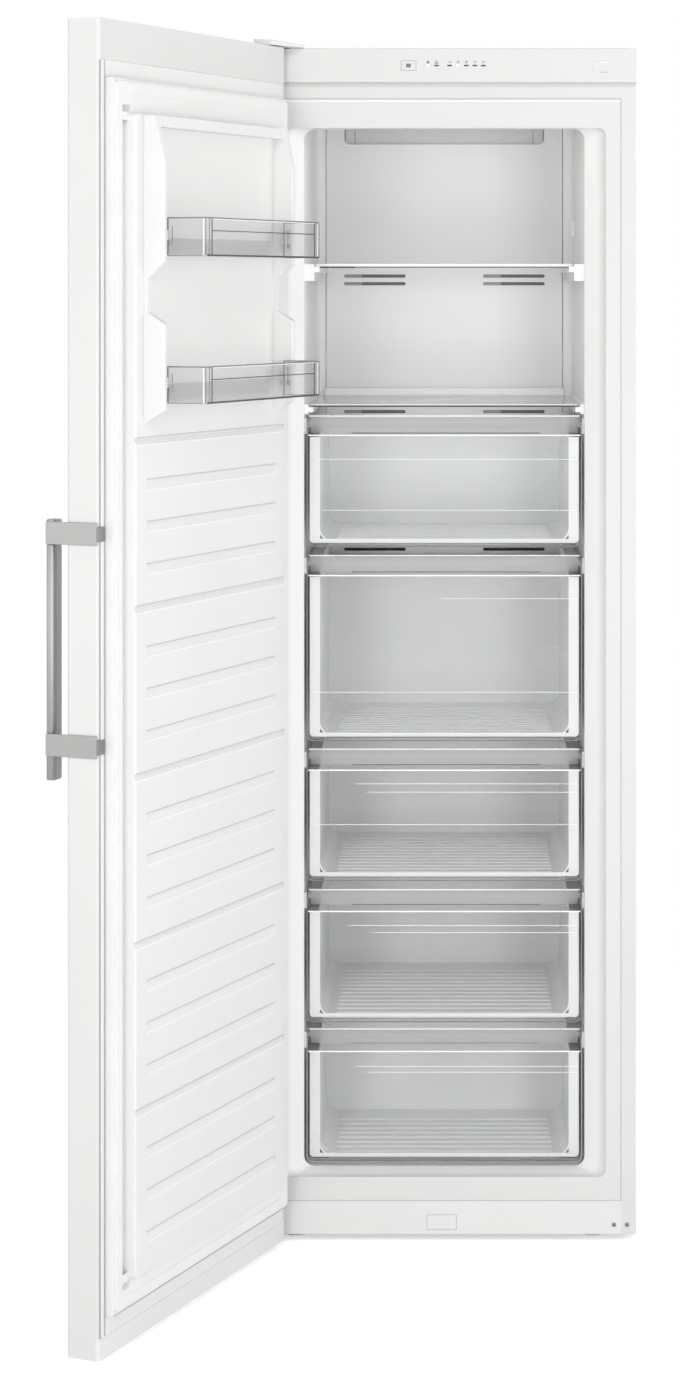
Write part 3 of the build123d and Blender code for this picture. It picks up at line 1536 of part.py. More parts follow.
# clear bins on the door, hooked over the pegs
for name, low, height in zip(("door_bin_upper", "door_bin_lower"), bin_bottoms, bin_heights):
    high = low + height
    with BuildPart() as door_bin:
        with BuildSketch(level_at(low)):
            pane((-bin_half, bin_half), (proud(bin_back_proud), proud(bin_front_proud)))
            fillet(vertices().group_by(Axis.Y)[-1], bin_corner)
        extrude(amount=high - low)
        with BuildSketch(level_at(low + bin_wall)):
            pane(
                (-bin_half + bin_wall, bin_half - bin_wall),
                (proud(bin_back_proud + bin_wall), proud(bin_front_proud - bin_wall)),
            )
            fillet(vertices().group_by(Axis.Y)[-1], bin_corner - bin_wall)
        extrude(amount=high - low, mode=Mode.SUBTRACT)
        # low rear wall, raised bead under the rim, hooks at both ends
        block(
            (-bin_half + bin_wall, bin_half - bin_wall),
            (proud(bin_back_proud - 1), proud(bin_back_proud + bin_wall)),
            (low + 26, high),
            mode=Mode.SUBTRACT,
        )
        bead_low = high - 18.5
        with BuildSketch(level_at(bead_low)):
            pane(
                (-bin_half + bin_corner, bin_half - bin_corner),
                (proud(bin_front_proud - 1), proud(bin_front_proud + 0.8)),
            )
        extrude(amount=1.6)
        peg_low = low + peg_rise
        hook_low = proud(peg_proud_from_face + peg_width / 2 - bin_hook_width / 2)
        for x in both_sides(bin_half - 0.5, bin_half + bin_hook_reach):
            block(x, (hook_low, hook_low + bin_hook_width), (peg_low - 8, peg_low + peg_height + 5))
        for x in both_sides(bin_half + 2 * peg_gap, bin_half + bin_hook_reach):
            block(
                x,
                (
                    proud(peg_proud_from_face - peg_gap),
                    proud(peg_proud_from_face + peg_width + peg_gap),
                ),
                (peg_low - 20, peg_low + peg_height + seat_gap),
                mode=Mode.SUBTRACT,
            )
    door_bin.part.label = name
    export_step(hang(door_bin.part), f"parts/{name}.step")

# ---------------------------------------------------------------- hinges
for name, plate_low, width, back, pin_low in (
    ("top_hinge", body_top, hinge_top_width, hinge_top_back, body_top - hinge_pin_length),
    (
        "bottom_hinge",
        body_bottom - hinge_plate_wall,
        hinge_bottom_width,
        hinge_bottom_back,
        body_bottom - 1,
    ),
):
    with BuildPart() as hinge:
        with BuildSketch(level_at(plate_low)):
            with BuildLine():
                Polyline(
                    (pin_x - hinge_nose, pin_y),
                    (pin_x + hinge_nose, pin_y),
                    (pin_x - hinge_nose + width, y_at(0)),
                    (pin_x - hinge_nose + width, y_at(back)),
                    (pin_x - hinge_nose, y_at(back)),
                    close=True,
                )
            make_face()
            with Locations((pin_x, pin_y)):
                Circle(hinge_nose)
        extrude(amount=hinge_plate_wall)
        with BuildSketch(level_at(pin_low)):
            with Locations((pin_x, pin_y)):
                Circle(pin_radius)
        extrude(amount=hinge_pin_length + 1)
        head_low = plate_low + hinge_plate_wall if name == "top_hinge" else plate_low - hinge_screw_head
        with BuildSketch(level_at(head_low)):
            for depth in hinge_screw_depths:
                with Locations((pin_x + 3, y_at(depth))):
                    RegularPolygon(hinge_screw_radius, 6)
        extrude(amount=hinge_screw_head)
    hinge.part.label = name
    export_step(hinge.part, f"parts/{name}.step")

# cap over the top hinge, open below
with BuildPart() as top_hinge_cover:
    with BuildSketch(level_at(body_top + seat_gap)):
        with BuildLine():
            Polyline(
                (-cover_left, y_at(-cover_front)),
                (-cover_left + 30, y_at(-cover_front)),
                (-cover_right, y_at(-10)),
                (-cover_right, y_at(cover_back)),
                (-cover_left, y_at(cover_back)),
                close=True,
            )
        make_face()
        fillet(vertices(), 9)
    extrude(amount=cover_height - seat_gap)
    chamfer(top_hinge_cover.faces().sort_by(Axis.Z)[-1].edges(), 2)
    offset(openings=top_hinge_cover.faces().sort_by(Axis.Z)[0], amount=-cover_wall, kind=Kind.INTERSECTION)
top_hinge_cover.part.label = "top_hinge_cover"
export_step(top_hinge_cover.part, "parts/top_hinge_cover.step")
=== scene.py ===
import math

import bmesh
import bpy
from mathutils import Matrix, Vector


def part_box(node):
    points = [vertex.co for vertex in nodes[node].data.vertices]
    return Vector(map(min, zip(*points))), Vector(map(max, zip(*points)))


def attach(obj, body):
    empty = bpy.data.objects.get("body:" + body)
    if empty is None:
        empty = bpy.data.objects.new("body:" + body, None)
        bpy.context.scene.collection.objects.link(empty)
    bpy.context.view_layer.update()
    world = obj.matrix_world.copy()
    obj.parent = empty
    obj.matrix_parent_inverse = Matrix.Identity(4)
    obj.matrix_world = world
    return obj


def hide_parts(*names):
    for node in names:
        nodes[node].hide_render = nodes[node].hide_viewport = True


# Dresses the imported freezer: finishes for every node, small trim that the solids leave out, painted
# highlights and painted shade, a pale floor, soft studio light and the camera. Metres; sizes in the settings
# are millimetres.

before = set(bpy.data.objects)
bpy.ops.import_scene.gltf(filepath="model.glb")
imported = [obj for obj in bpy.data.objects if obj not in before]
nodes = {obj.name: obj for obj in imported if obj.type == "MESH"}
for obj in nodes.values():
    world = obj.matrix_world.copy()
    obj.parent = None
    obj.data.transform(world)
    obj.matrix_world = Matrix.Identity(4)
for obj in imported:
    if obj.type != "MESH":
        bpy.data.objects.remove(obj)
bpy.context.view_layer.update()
print("frame loaded:", len(nodes), "nodes")

mm = 0.001
frontY = -0.292          # plane of the cabinet's front
cabinet = {
    "halfWidth": 297.5,
    "hingeX": -276.5,
    "hingeY": -333.0,
    "doorGap": 16.0,      # the shut door's inner face lies this far ahead of the front
    "doorSwing": 112.3,   # degrees the stored door stands open
}


def millimetres(*values):
    return Vector([value * mm for value in values])


# turns what is drawn on the shut door to where the open door is
hingePoint = millimetres(cabinet["hingeX"], cabinet["hingeY"], 0)
doorOpened = (
    Matrix.Translation(hingePoint)
    @ Matrix.Rotation(-math.radians(cabinet["doorSwing"]), 4, "Z")
    @ Matrix.Translation(-hingePoint)
)


def fromHex(text):
    # sRGB hex to the linear values that the sockets take
    parts = [int(text[i:i + 2], 16) / 255 for i in (1, 3, 5)]
    linear = [p / 12.92 if p <= 0.04045 else ((p + 0.055) / 1.055) ** 2.4 for p in parts]
    return (*linear, 1.0)


def addNode(tree, kind, inputs=None, **settings):
    node = tree.nodes.new(f"ShaderNode{kind}")
    for name, value in settings.items():
        setattr(node, name, value)
    for name, value in (inputs or {}).items():
        if isinstance(value, bpy.types.NodeSocket):
            tree.links.new(value, node.inputs[name])
        else:
            node.inputs[name].default_value = value
    return node


def startMaterial(name, colour, **shaderInputs):
    # a Principled shader with its constants on its own sockets
    material = bpy.data.materials.new(name)
    material.use_nodes = True
    tree = material.node_tree
    tree.nodes.clear()
    shader = addNode(tree, "BsdfPrincipled", {"Base Color": fromHex(colour)})
    for socket, value in shaderInputs.items():
        shader.inputs[socket].default_value = value
    addNode(tree, "OutputMaterial", {"Surface": shader.outputs["BSDF"]})
    return material, tree, shader


def addSurfaceGrain(tree, shader, grainMm, depthMm, stretch=(1, 1, 1)):
    # moulding or paint texture: fine bump, read from the piece's own place
    place = addNode(tree, "TexCoord")
    turned = addNode(tree, "Mapping", {"Vector": place.outputs["Object"], "Scale": stretch})
    grain = addNode(tree, "TexNoise", {"Vector": turned.outputs[0], "Scale": 1000 / grainMm, "Detail": 3.0})
    bump = addNode(tree, "Bump", {"Height": grain.outputs[0], "Strength": 0.5, "Distance": depthMm * mm})
    tree.links.new(bump.outputs[0], shader.inputs["Normal"])
    return turned


def addMottle(tree, shader, place, patchMm, settings, spread):
    # slow change of colour and gloss, as a sheet or a moulding has over its width
    patch = addNode(tree, "TexNoise", {"Vector": place.outputs[0], "Scale": 1000 / patchMm, "Detail": 2.0})
    blend = {0: patch.outputs[0], 6: fromHex(settings["dark"]), 7: fromHex(settings["light"])}
    colour = addNode(tree, "Mix", blend, data_type="RGBA")
    tree.links.new(colour.outputs[2], shader.inputs["Base Color"])
    middle = shader.inputs["Roughness"].default_value
    reach = {"Value": patch.outputs[0], "To Min": middle - spread, "To Max": middle + spread}
    gloss = addNode(tree, "MapRange", reach)
    tree.links.new(gloss.outputs[0], shader.inputs["Roughness"])


def takeSurface(tree, source):
    # hands the material's output to another node than its Principled shader
    output = next(node for node in tree.nodes if node.type == "OUTPUT_MATERIAL")
    tree.links.new(source, output.inputs["Surface"])


opaqueFinishes = {
    # coil-coated steel sheet: hard white paint with a very fine orange peel
    "coatedSteel": {
        "dark": "#D2D2D1", "light": "#D8D8D7", "patchMm": 300, "grainMm": 1.8, "depthMm": 0.012,
        "shader": {"Roughness": 0.34, "IOR": 1.5, "Coat Weight": 0.15, "Coat Roughness": 0.2},
    },
    # thermoformed high-impact polystyrene: soft satin skin, a little thinner in the draws
    "formedPolystyrene": {
        "dark": "#DEDEDD", "light": "#E4E4E3", "patchMm": 220, "grainMm": 1.1, "depthMm": 0.01,
        "shader": {"Roughness": 0.42, "IOR": 1.55},
    },
    # moulded polystyrene of the air cover and the sensor cover: whiter than the sheet round it; the same
    # white is the painted highlight under the grooves of the door's lining
    "coverPolystyreneAndHighlight": {
        "dark": "#F0F0EF", "light": "#F6F6F5", "patchMm": 180, "grainMm": 1.0, "depthMm": 0.012,
        "shader": {"Roughness": 0.4, "IOR": 1.55},
    },
    # injection-moulded ABS: even satin from the tool's spark-eroded face
    "mouldedAbs": {
        "dark": "#D4D4D3", "light": "#DADAD9", "patchMm": 150, "grainMm": 0.9, "depthMm": 0.012,
        "shader": {"Roughness": 0.36, "IOR": 1.53},
    },
    # the same ABS, painted whiter on the plinth and the door's bottom cap to lift the shade low on the
    # freezer; the hinge cover takes it too
    "paintedWhiterAbs": {
        "dark": "#DBDBDA", "light": "#E0E0DF", "patchMm": 150, "grainMm": 0.9, "depthMm": 0.012,
        "shader": {"Roughness": 0.38, "IOR": 1.53},
    },
    # polystyrene of the drawer tubs: glossier, lets a little light into its thickness
    "tubPolystyrene": {
        "dark": "#F2F3F3", "light": "#F8F8F8", "patchMm": 120, "grainMm": 2.5, "depthMm": 0.01,
        "shader": {"Roughness": 0.26, "IOR": 1.59, "Subsurface Weight": 0.1, "Subsurface Scale": 0.004},
    },
    # flexible PVC of the gasket: matt, with a soft sheen
    "gasketPvc": {
        "dark": "#E0E0DF", "light": "#E9E9E8", "patchMm": 60, "grainMm": 0.7, "depthMm": 0.02,
        "shader": {"Roughness": 0.58, "IOR": 1.54},
    },
    # paint on the rear panel: thinner and flatter than on the sides
    "rearPaint": {
        "dark": "#D6D7D6", "light": "#E0E0DF", "patchMm": 260, "grainMm": 2.0, "depthMm": 0.02,
        "shader": {"Roughness": 0.5, "IOR": 1.5},
    },
    # rigid polyurethane foam: cream, open cut cells
    "urethaneFoam": {
        "dark": "#C9BC92", "light": "#DACFA8", "patchMm": 30, "grainMm": 1.4, "depthMm": 0.4,
        "shader": {"Roughness": 0.9, "IOR": 1.45},
    },
    # stoved black enamel of the compressor
    "stovedEnamel": {
        "dark": "#121213", "light": "#1C1C1D", "patchMm": 50, "grainMm": 1.2, "depthMm": 0.03,
        "shader": {"Roughness": 0.33, "IOR": 1.52},
    },
    # glass-filled polyamide: rollers, feet, relay box, melt water tray
    "blackPolyamide": {
        "dark": "#1B1B1D", "light": "#262628", "patchMm": 25, "grainMm": 0.6, "depthMm": 0.02,
        "shader": {"Roughness": 0.52, "IOR": 1.53},
    },
    # moulded rubber of the compressor's mounts
    "mountRubber": {
        "dark": "#151515", "light": "#1E1E1E", "patchMm": 12, "grainMm": 0.5, "depthMm": 0.02,
        "shader": {"Roughness": 0.75, "IOR": 1.52},
    },
    # plate in the air return: pale grey, painted for the shade in the recess behind the cover
    "returnShade": {
        "dark": "#D3D4D4", "light": "#DEDFDF", "patchMm": 90, "grainMm": 0.9, "depthMm": 0.02,
        "shader": {"Roughness": 0.45, "IOR": 1.55},
    },
    # grey moulding in the vents and the air return, with lighter painted shade where some light reaches it
    "ductShade": {
        "dark": "#A6A8AA", "light": "#B4B6B8", "patchMm": 80, "grainMm": 0.9, "depthMm": 0.02,
        "shader": {"Roughness": 0.6, "IOR": 1.53},
    },
    # the same moulding with darker painted shade, where less light reaches it
    "ventShade": {
        "dark": "#77797B", "light": "#85878A", "patchMm": 80, "grainMm": 0.9, "depthMm": 0.02,
        "shader": {"Roughness": 0.6, "IOR": 1.53},
    },
    # edge of a clear sheet seen along its width: light is lost in it, so it reads dark
    "shadedEdge": {
        "dark": "#67696A", "light": "#7A7C7D", "patchMm": 40, "grainMm": 0.8, "depthMm": 0.004,
        "shader": {"Roughness": 0.2, "IOR": 1.59},
    },
    # painted shade, the darkest, on edges and gaps: rails and feet of the bins, ends of the shelves, screw
    # recesses, under the hinge cover
    "deepShade": {
        "dark": "#333536", "light": "#434546", "patchMm": 40, "grainMm": 0.8, "depthMm": 0.004,
        "shader": {"Roughness": 0.2, "IOR": 1.59},
    },
    # thin edges low on the freezer and at the door's seams: a lighter grey, soft joint shadow
    "paleEdge": {
        "dark": "#8C8E8F", "light": "#9C9E9F", "patchMm": 40, "grainMm": 0.8, "depthMm": 0.004,
        "shader": {"Roughness": 0.35, "IOR": 1.53},
    },
    # creases and seams between white faces: the joint keeps some light, so it reads pale grey
    "seamShade": {
        "dark": "#B2B3B3", "light": "#BCBDBD", "patchMm": 60, "grainMm": 0.9, "depthMm": 0.006,
        "shader": {"Roughness": 0.5, "IOR": 1.53},
    },
    # white face in soft shadow: under the fascia, and where the door's lining turns into a groove
    "fasciaShade": {
        "dark": "#C4C4C3", "light": "#C8C8C7", "patchMm": 90, "grainMm": 1.1, "depthMm": 0.01,
        "shader": {"Roughness": 0.45, "IOR": 1.53},
    },
    # rounded edge, of a clear sheet or a moulding, that catches the light along its whole length
    "brightEdge": {
        "dark": "#FAFAFA", "light": "#FFFFFF", "patchMm": 60, "grainMm": 0.8, "depthMm": 0.004,
        "shader": {"Roughness": 0.15, "IOR": 1.59},
    },
    # smoked acrylic window of a diode that is off
    "smokedAcrylic": {
        "dark": "#3F4143", "light": "#4A4C4E", "patchMm": 5, "grainMm": 0.5, "depthMm": 0.002,
        "shader": {"Roughness": 0.2, "IOR": 1.49},
    },
    # printing ink of the panel: dark grey, a flat film
    "printInk": {
        "dark": "#3A3C3E", "light": "#45474A", "patchMm": 2, "grainMm": 0.3, "depthMm": 0.002,
        "shader": {"Roughness": 0.5, "IOR": 1.5},
    },
}

metalFinishes = {
    # satin lacquered aluminium of the handle, brushed along its length
    "satinAluminium": {
        "dark": "#999998", "light": "#A4A4A3", "roughness": 0.42, "lineMm": 0.5,
        "along": (1, 1, 0.02), "depthMm": 0.006,
    },
    # tabs of the handle's straps, coloured darker
    "darkAluminium": {
        "dark": "#7C7D7D", "light": "#888989", "roughness": 0.42, "lineMm": 0.5,
        "along": (1, 1, 0.02), "depthMm": 0.006,
    },
    # zinc-plated steel of hinges, axles and screws
    "zincPlate": {
        "dark": "#8D9092", "light": "#A6A9AA", "roughness": 0.36, "lineMm": 0.8,
        "along": (1, 1, 1), "depthMm": 0.01,
    },
    # bare aluminium fins and tube of the evaporator
    "finAluminium": {
        "dark": "#B9BBBC", "light": "#D0D2D3", "roughness": 0.32, "lineMm": 0.7,
        "along": (1, 1, 0.1), "depthMm": 0.01,
    },
    # drawn copper, browned a little where it was brazed
    "drawnCopper": {
        "dark": "#8E5A3C", "light": "#C4835C", "roughness": 0.3, "lineMm": 6.0,
        "along": (1, 1, 1), "depthMm": 0.005,
    },
}


def makeOpaque(name, settings):
    material, tree, shader = startMaterial(name, settings["light"], **settings["shader"])
    place = addSurfaceGrain(tree, shader, settings["grainMm"], settings["depthMm"])
    addMottle(tree, shader, place, settings["patchMm"], settings, spread=0.03)
    return material


def makeMetal(name, settings):
    # patches of tone run four times as wide as the brush lines or the plating's grain
    rough, lineMm = settings["roughness"], settings["lineMm"]
    material, tree, shader = startMaterial(name, settings["light"], Metallic=1.0, Roughness=rough)
    place = addSurfaceGrain(tree, shader, lineMm, settings["depthMm"], settings["along"])
    addMottle(tree, shader, place, 4 * lineMm, settings, spread=0.06)
    return material


finish = {name: makeOpaque(name, settings) for name, settings in opaqueFinishes.items()}
finish.update({name: makeMetal(name, settings) for name, settings in metalFinishes.items()})


def makeClear(name, settings):
    # what is behind shows straight through; the shine grows towards the edges, over a trace of haze
    rough, steepness = settings["roughness"], 4.0
    material, tree, shine = startMaterial(name, settings["haze"], Roughness=rough, IOR=settings["ior"])
    addSurfaceGrain(tree, shine, settings["waveMm"], depthMm=0.02)
    film = addNode(tree, "BsdfTransparent", {"Color": fromHex(settings["tint"])})
    facing = addNode(tree, "LayerWeight", {"Blend": 0.5})
    glance = addNode(tree, "Math", {0: facing.outputs["Facing"], 1: steepness}, operation="POWER")
    share = {0: glance.outputs[0], 1: settings["rim"], 2: settings["hazeShare"]}
    amount = addNode(tree, "Math", share, operation="MULTIPLY_ADD", use_clamp=True)
    mix = addNode(tree, "MixShader", {0: amount.outputs[0], 1: film.outputs[0], 2: shine.outputs["BSDF"]})
    takeSurface(tree, mix.outputs[0])
    return material


clearFinishes = {
    # crystal polystyrene of the drawer fronts: water-clear, polished by its mould
    "clearPolystyrene": {
        "tint": "#FCFCFC", "haze": "#F0F0F0", "hazeShare": 0.03,
        "rim": 0.5, "ior": 1.5, "roughness": 0.06, "waveMm": 35,
    },
    # the same of the door bins, tinted smoke grey
    "greyPolystyrene": {
        "tint": "#F9F9F9", "haze": "#E4E4E4", "hazeShare": 0.05,
        "rim": 0.28, "ior": 1.5, "roughness": 0.06, "waveMm": 30,
    },
    # matt-moulded wall behind the grips: half the light passes, so it reads as silver grey
    "frostedPolystyrene": {
        "tint": "#F4F4F4", "haze": "#E6E6E6", "hazeShare": 0.5,
        "rim": 0.3, "ior": 1.5, "roughness": 0.35, "waveMm": 9,
    },
    # float glass of the shelves, faintly green
    "floatGlass": {
        "tint": "#FAFBFB", "haze": "#E6E9E7", "hazeShare": 0.03,
        "rim": 0.8, "ior": 1.5, "roughness": 0.02, "waveMm": 60,
    },
}
finish.update({name: makeClear(name, settings) for name, settings in clearFinishes.items()})


def makeGalvanised():
    # hot-dip galvanised sheet: dull grey with spangles about 9 mm across, some glossier than others
    sheet = {"flakeMm": 9.0, "dark": "#9A9EA0", "light": "#BFC3C5", "glossy": 0.35, "dull": 0.55}
    material, tree, shader = startMaterial("galvanisedSheet", sheet["light"], Metallic=1.0, Roughness=0.45)
    place = addNode(tree, "TexCoord")
    spangle = {"Vector": place.outputs["Object"], "Scale": 1000 / sheet["flakeMm"]}
    flakes = addNode(tree, "TexVoronoi", spangle)
    tone = addNode(tree, "SeparateColor", {"Color": flakes.outputs["Color"]})
    colour = addNode(tree, "ValToRGB", {"Fac": tone.outputs[0]})
    colour.color_ramp.elements[0].color = fromHex(sheet["dark"])
    colour.color_ramp.elements[1].color = fromHex(sheet["light"])
    tree.links.new(colour.outputs[0], shader.inputs["Base Color"])
    reach = {"Value": tone.outputs[1], "To Min": sheet["glossy"], "To Max": sheet["dull"]}
    gloss = addNode(tree, "MapRange", reach)
    tree.links.new(gloss.outputs[0], shader.inputs["Roughness"])
    return material


def makeBoard():
    # glass-fibre circuit board under green lacquer, with copper areas 6 mm long
    board = {"areaMm": 6.0, "lacquer": "#1F5A3A", "copper": "#3C8055"}
    material, tree, shader = startMaterial("lacquerBoard", board["lacquer"], Roughness=0.3)
    place = addNode(tree, "TexCoord")
    pattern = {
        "Vector": place.outputs["Object"],
        "Color1": fromHex(board["copper"]),
        "Color2": fromHex(board["lacquer"]),
        "Mortar": fromHex(board["lacquer"]),
        "Scale": 500 / board["areaMm"],   # this texture's brick is half a unit long
    }
    areas = addNode(tree, "TexBrick", pattern)
    tree.links.new(areas.outputs[0], shader.inputs["Base Color"])
    return material


def makeLamp(name, colour, glow):
    # opal cover with the diodes' light behind it
    material, tree, shader = startMaterial(name, colour, Roughness=0.4)
    shader.inputs["Emission Color"].default_value = fromHex("#FFFFFF")
    shader.inputs["Emission Strength"].default_value = glow
    addSurfaceGrain(tree, shader, grainMm=1.0, depthMm=0.01)
    return material


def makeInnerLining():
    # the same formed sheet, with painted light: darker at the flange, where the light falls full on it, and
    # whiter where it was drawn deep, in the shade inside; behind the air cover the duct is lined in grey foam
    lining = {
        "flange": "#D7D7D6", "drawn": "#F8F8F7", "duct": "#B9BBBC",
        "drawnDepth": 18.0, "ductDepth": 481.5, "grainMm": 1.1, "depthMm": 0.01,
    }
    material, tree, shader = startMaterial("liningWithDuct", lining["drawn"], Roughness=0.42, IOR=1.55)
    place = addSurfaceGrain(tree, shader, lining["grainMm"], lining["depthMm"])
    where = addNode(tree, "SeparateXYZ", {"Vector": place.outputs[0]})
    # painted light: from the flange colour to the whiter inside over the first drawnDepth
    drawnY = frontY + lining["drawnDepth"] * mm
    drawn = addNode(tree, "MapRange", {"Value": where.outputs["Y"], "From Min": frontY, "From Max": drawnY})
    blend = {0: drawn.outputs[0], 6: fromHex(lining["flange"]), 7: fromHex(lining["drawn"])}
    sheet = addNode(tree, "Mix", blend, data_type="RGBA")
    ductY = frontY + lining["ductDepth"] * mm
    behind = addNode(tree, "Math", {0: where.outputs["Y"], 1: ductY}, operation="GREATER_THAN")
    blend = {0: behind.outputs[0], 6: sheet.outputs[2], 7: fromHex(lining["duct"])}
    colour = addNode(tree, "Mix", blend, data_type="RGBA")
    tree.links.new(colour.outputs[2], shader.inputs["Base Color"])
    return material


def makeGripMetal():
    # the same satin aluminium on the handle, with painted light: lighter across the side that faces the door,
    # which is turned away from the light
    grip = {
        "lit": "#A3A3A2", "turned": "#C8C9C9", "litX": -537.5, "turnedX": -531.5,
        "lineMm": 0.5, "depthMm": 0.004, "along": (1, 1, 0.02),
    }
    material, tree, shader = startMaterial("gripAluminiumPaintedLight", grip["lit"], Metallic=1.0, Roughness=0.5)
    addSurfaceGrain(tree, shader, grip["lineMm"], grip["depthMm"], grip["along"])
    where = addNode(tree, "TexCoord")
    across = addNode(tree, "SeparateXYZ", {"Vector": where.outputs["Object"]})
    reach = {"Value": across.outputs["X"], "From Min": grip["litX"] * mm, "From Max": grip["turnedX"] * mm}
    turn = addNode(tree, "MapRange", reach)
    blend = {0: turn.outputs[0], 6: fromHex(grip["lit"]), 7: fromHex(grip["turned"])}
    colour = addNode(tree, "Mix", blend, data_type="RGBA")
    tree.links.new(colour.outputs[2], shader.inputs["Base Color"])
    return material


finish["galvanisedSheet"] = makeGalvanised()
finish["lacquerBoard"] = makeBoard()
finish["opalLamp"] = makeLamp("opalLamp", "#F4F4F2", 3.2)
finish["litWindow"] = makeLamp("litWindow", "#FFFFFF", 1.2)
finish["liningWithDuct"] = makeInnerLining()
finish["gripAluminiumPaintedLight"] = makeGripMetal()

nodeFinishes = {
    "coatedSteel": ["cabinet_wrap", "door_skin"],
    "formedPolystyrene": ["door_liner"],
    "liningWithDuct": ["inner_liner"],
    "mouldedAbs": [
        "control_fascia", "mode_button", "fan_rotor", "drain_channel", "door_top_cap",
        "top_hinge_cover", "front_foot_left", "front_foot_right",
    ],
    "paintedWhiterAbs": ["plinth", "door_bottom_cap"],
    "coverPolystyreneAndHighlight": ["evaporator_cover", "sensor_cover", "upper_shelf_trim", "lower_shelf_trim"],
    "tubPolystyrene": [f"drawer_bin_{number}" for number in range(1, 6)],
    "clearPolystyrene": [f"drawer_front_{number}" for number in range(1, 6)],
    "greyPolystyrene": ["door_bin_upper", "door_bin_lower"],
    "floatGlass": ["upper_shelf_glass", "lower_shelf_glass"],
    "gasketPvc": ["door_gasket"],
    "rearPaint": ["back_panel"],
    "urethaneFoam": ["cabinet_foam", "door_foam"],
    "stovedEnamel": ["compressor"],
    "blackPolyamide": [
        "terminal_box", "evaporating_tray", "fan_shroud", "rear_roller_left", "rear_roller_right",
    ],
    "mountRubber": ["compressor_mounts"],
    "satinAluminium": ["handle_bar", "handle_brackets"],
    "zincPlate": [
        "top_hinge", "bottom_hinge", "roller_axles", "front_screws", "defrost_heater", "condenser_coil",
    ],
    "finAluminium": ["evaporator_coil"],
    "drawnCopper": ["refrigerant_pipes", "filter_drier"],
    "galvanisedSheet": ["bottom_pan", "machine_bay_plate", "compressor_tray"],
    "lacquerBoard": ["control_board"],
    "smokedAcrylic": ["indicator_lenses"],
    "opalLamp": ["ceiling_lamp"],
}

for finishName, nodeNames in nodeFinishes.items():
    for nodeName in nodeNames:
        part = nodes[nodeName]
        for slot in part.material_slots:
            slot.material = finish[finishName]
print("finishes given to", sum(len(names) for names in nodeFinishes.values()), "of", len(nodes), "nodes")


def newPiece(name, mesh, finishName, body):
    data = bpy.data.meshes.new(name)
    mesh.to_mesh(data)
    mesh.free()
    data.materials.append(finish[finishName])
    piece = bpy.data.objects.new(name, data)
    bpy.context.scene.collection.objects.link(piece)
    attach(piece, body)
    return piece


def easeEdges(mesh, edges, radius, segments=2):
    bmesh.ops.bevel(
        mesh, geom=edges, offset=radius * mm, segments=segments, affect="EDGES", profile=0.5, material=-1
    )


def addBlock(mesh, low, high, radius=0.0):
    # box between two corners in millimetres, its edges rounded
    low, high = Vector(low) * mm, Vector(high) * mm
    made = bmesh.ops.create_cube(mesh, size=1.0)["verts"]
    bmesh.ops.scale(mesh, verts=made, vec=high - low)
    bmesh.ops.translate(mesh, verts=made, vec=(low + high) / 2)
    if radius:
        easeEdges(mesh, list({edge for vert in made for edge in vert.link_edges}), radius)


def addBar(mesh, start, end, width, depth=None):
    # straight bar between two points in millimetres; its long edges are eased by a quarter of its width
    start, end = Vector(start) * mm, Vector(end) * mm
    along = end - start
    turned = along.to_track_quat("Z", "Y").to_matrix().to_4x4()
    across = [width * mm, (depth or width) * mm]
    if along.xy.length > 0:
        across.reverse()      # a bar that isn't upright is turned with its own X into the face
    place = Matrix.Translation((start + end) / 2) @ turned @ Matrix.Diagonal((*across, along.length, 1))
    made = bmesh.ops.create_cube(mesh, size=1.0, matrix=place)["verts"]
    edges = {edge for vert in made for edge in vert.link_edges}
    easeEdges(mesh, [edge for edge in edges if edge.calc_length() > 0.9 * along.length], width / 4)


def addLevel(mesh, left, right, y, z, width, depth=None):
    addBar(mesh, (left, y, z), (right, y, z), width, depth)


def addUpright(mesh, x, y, low, high, width, depth=None):
    addBar(mesh, (x, y, low), (x, y, high), width, depth)


def addLine(mesh, points, width, depth=None):
    for start, end in zip(points, points[1:]):
        addBar(mesh, start, end, width, depth)


def raiseFace(mesh, face):
    # extrudes a face on the spot and gives the new face
    made = bmesh.ops.extrude_face_region(mesh, geom=[face, *face.edges])["geom"]
    return next(part for part in made if isinstance(part, bmesh.types.BMFace))


def swingOpen(mesh):
    # from the shut door, where the piece was drawn, to the open one
    bmesh.ops.transform(mesh, matrix=doorOpened, verts=mesh.verts)


def depthY(depth):
    return frontY / mm + depth


def proudY(distance):
    # distance from the shut door's inner face towards the cabinet
    return frontY / mm - cabinet["doorGap"] + distance


def boxMm(nodeName):
    return [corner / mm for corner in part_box(nodeName)]


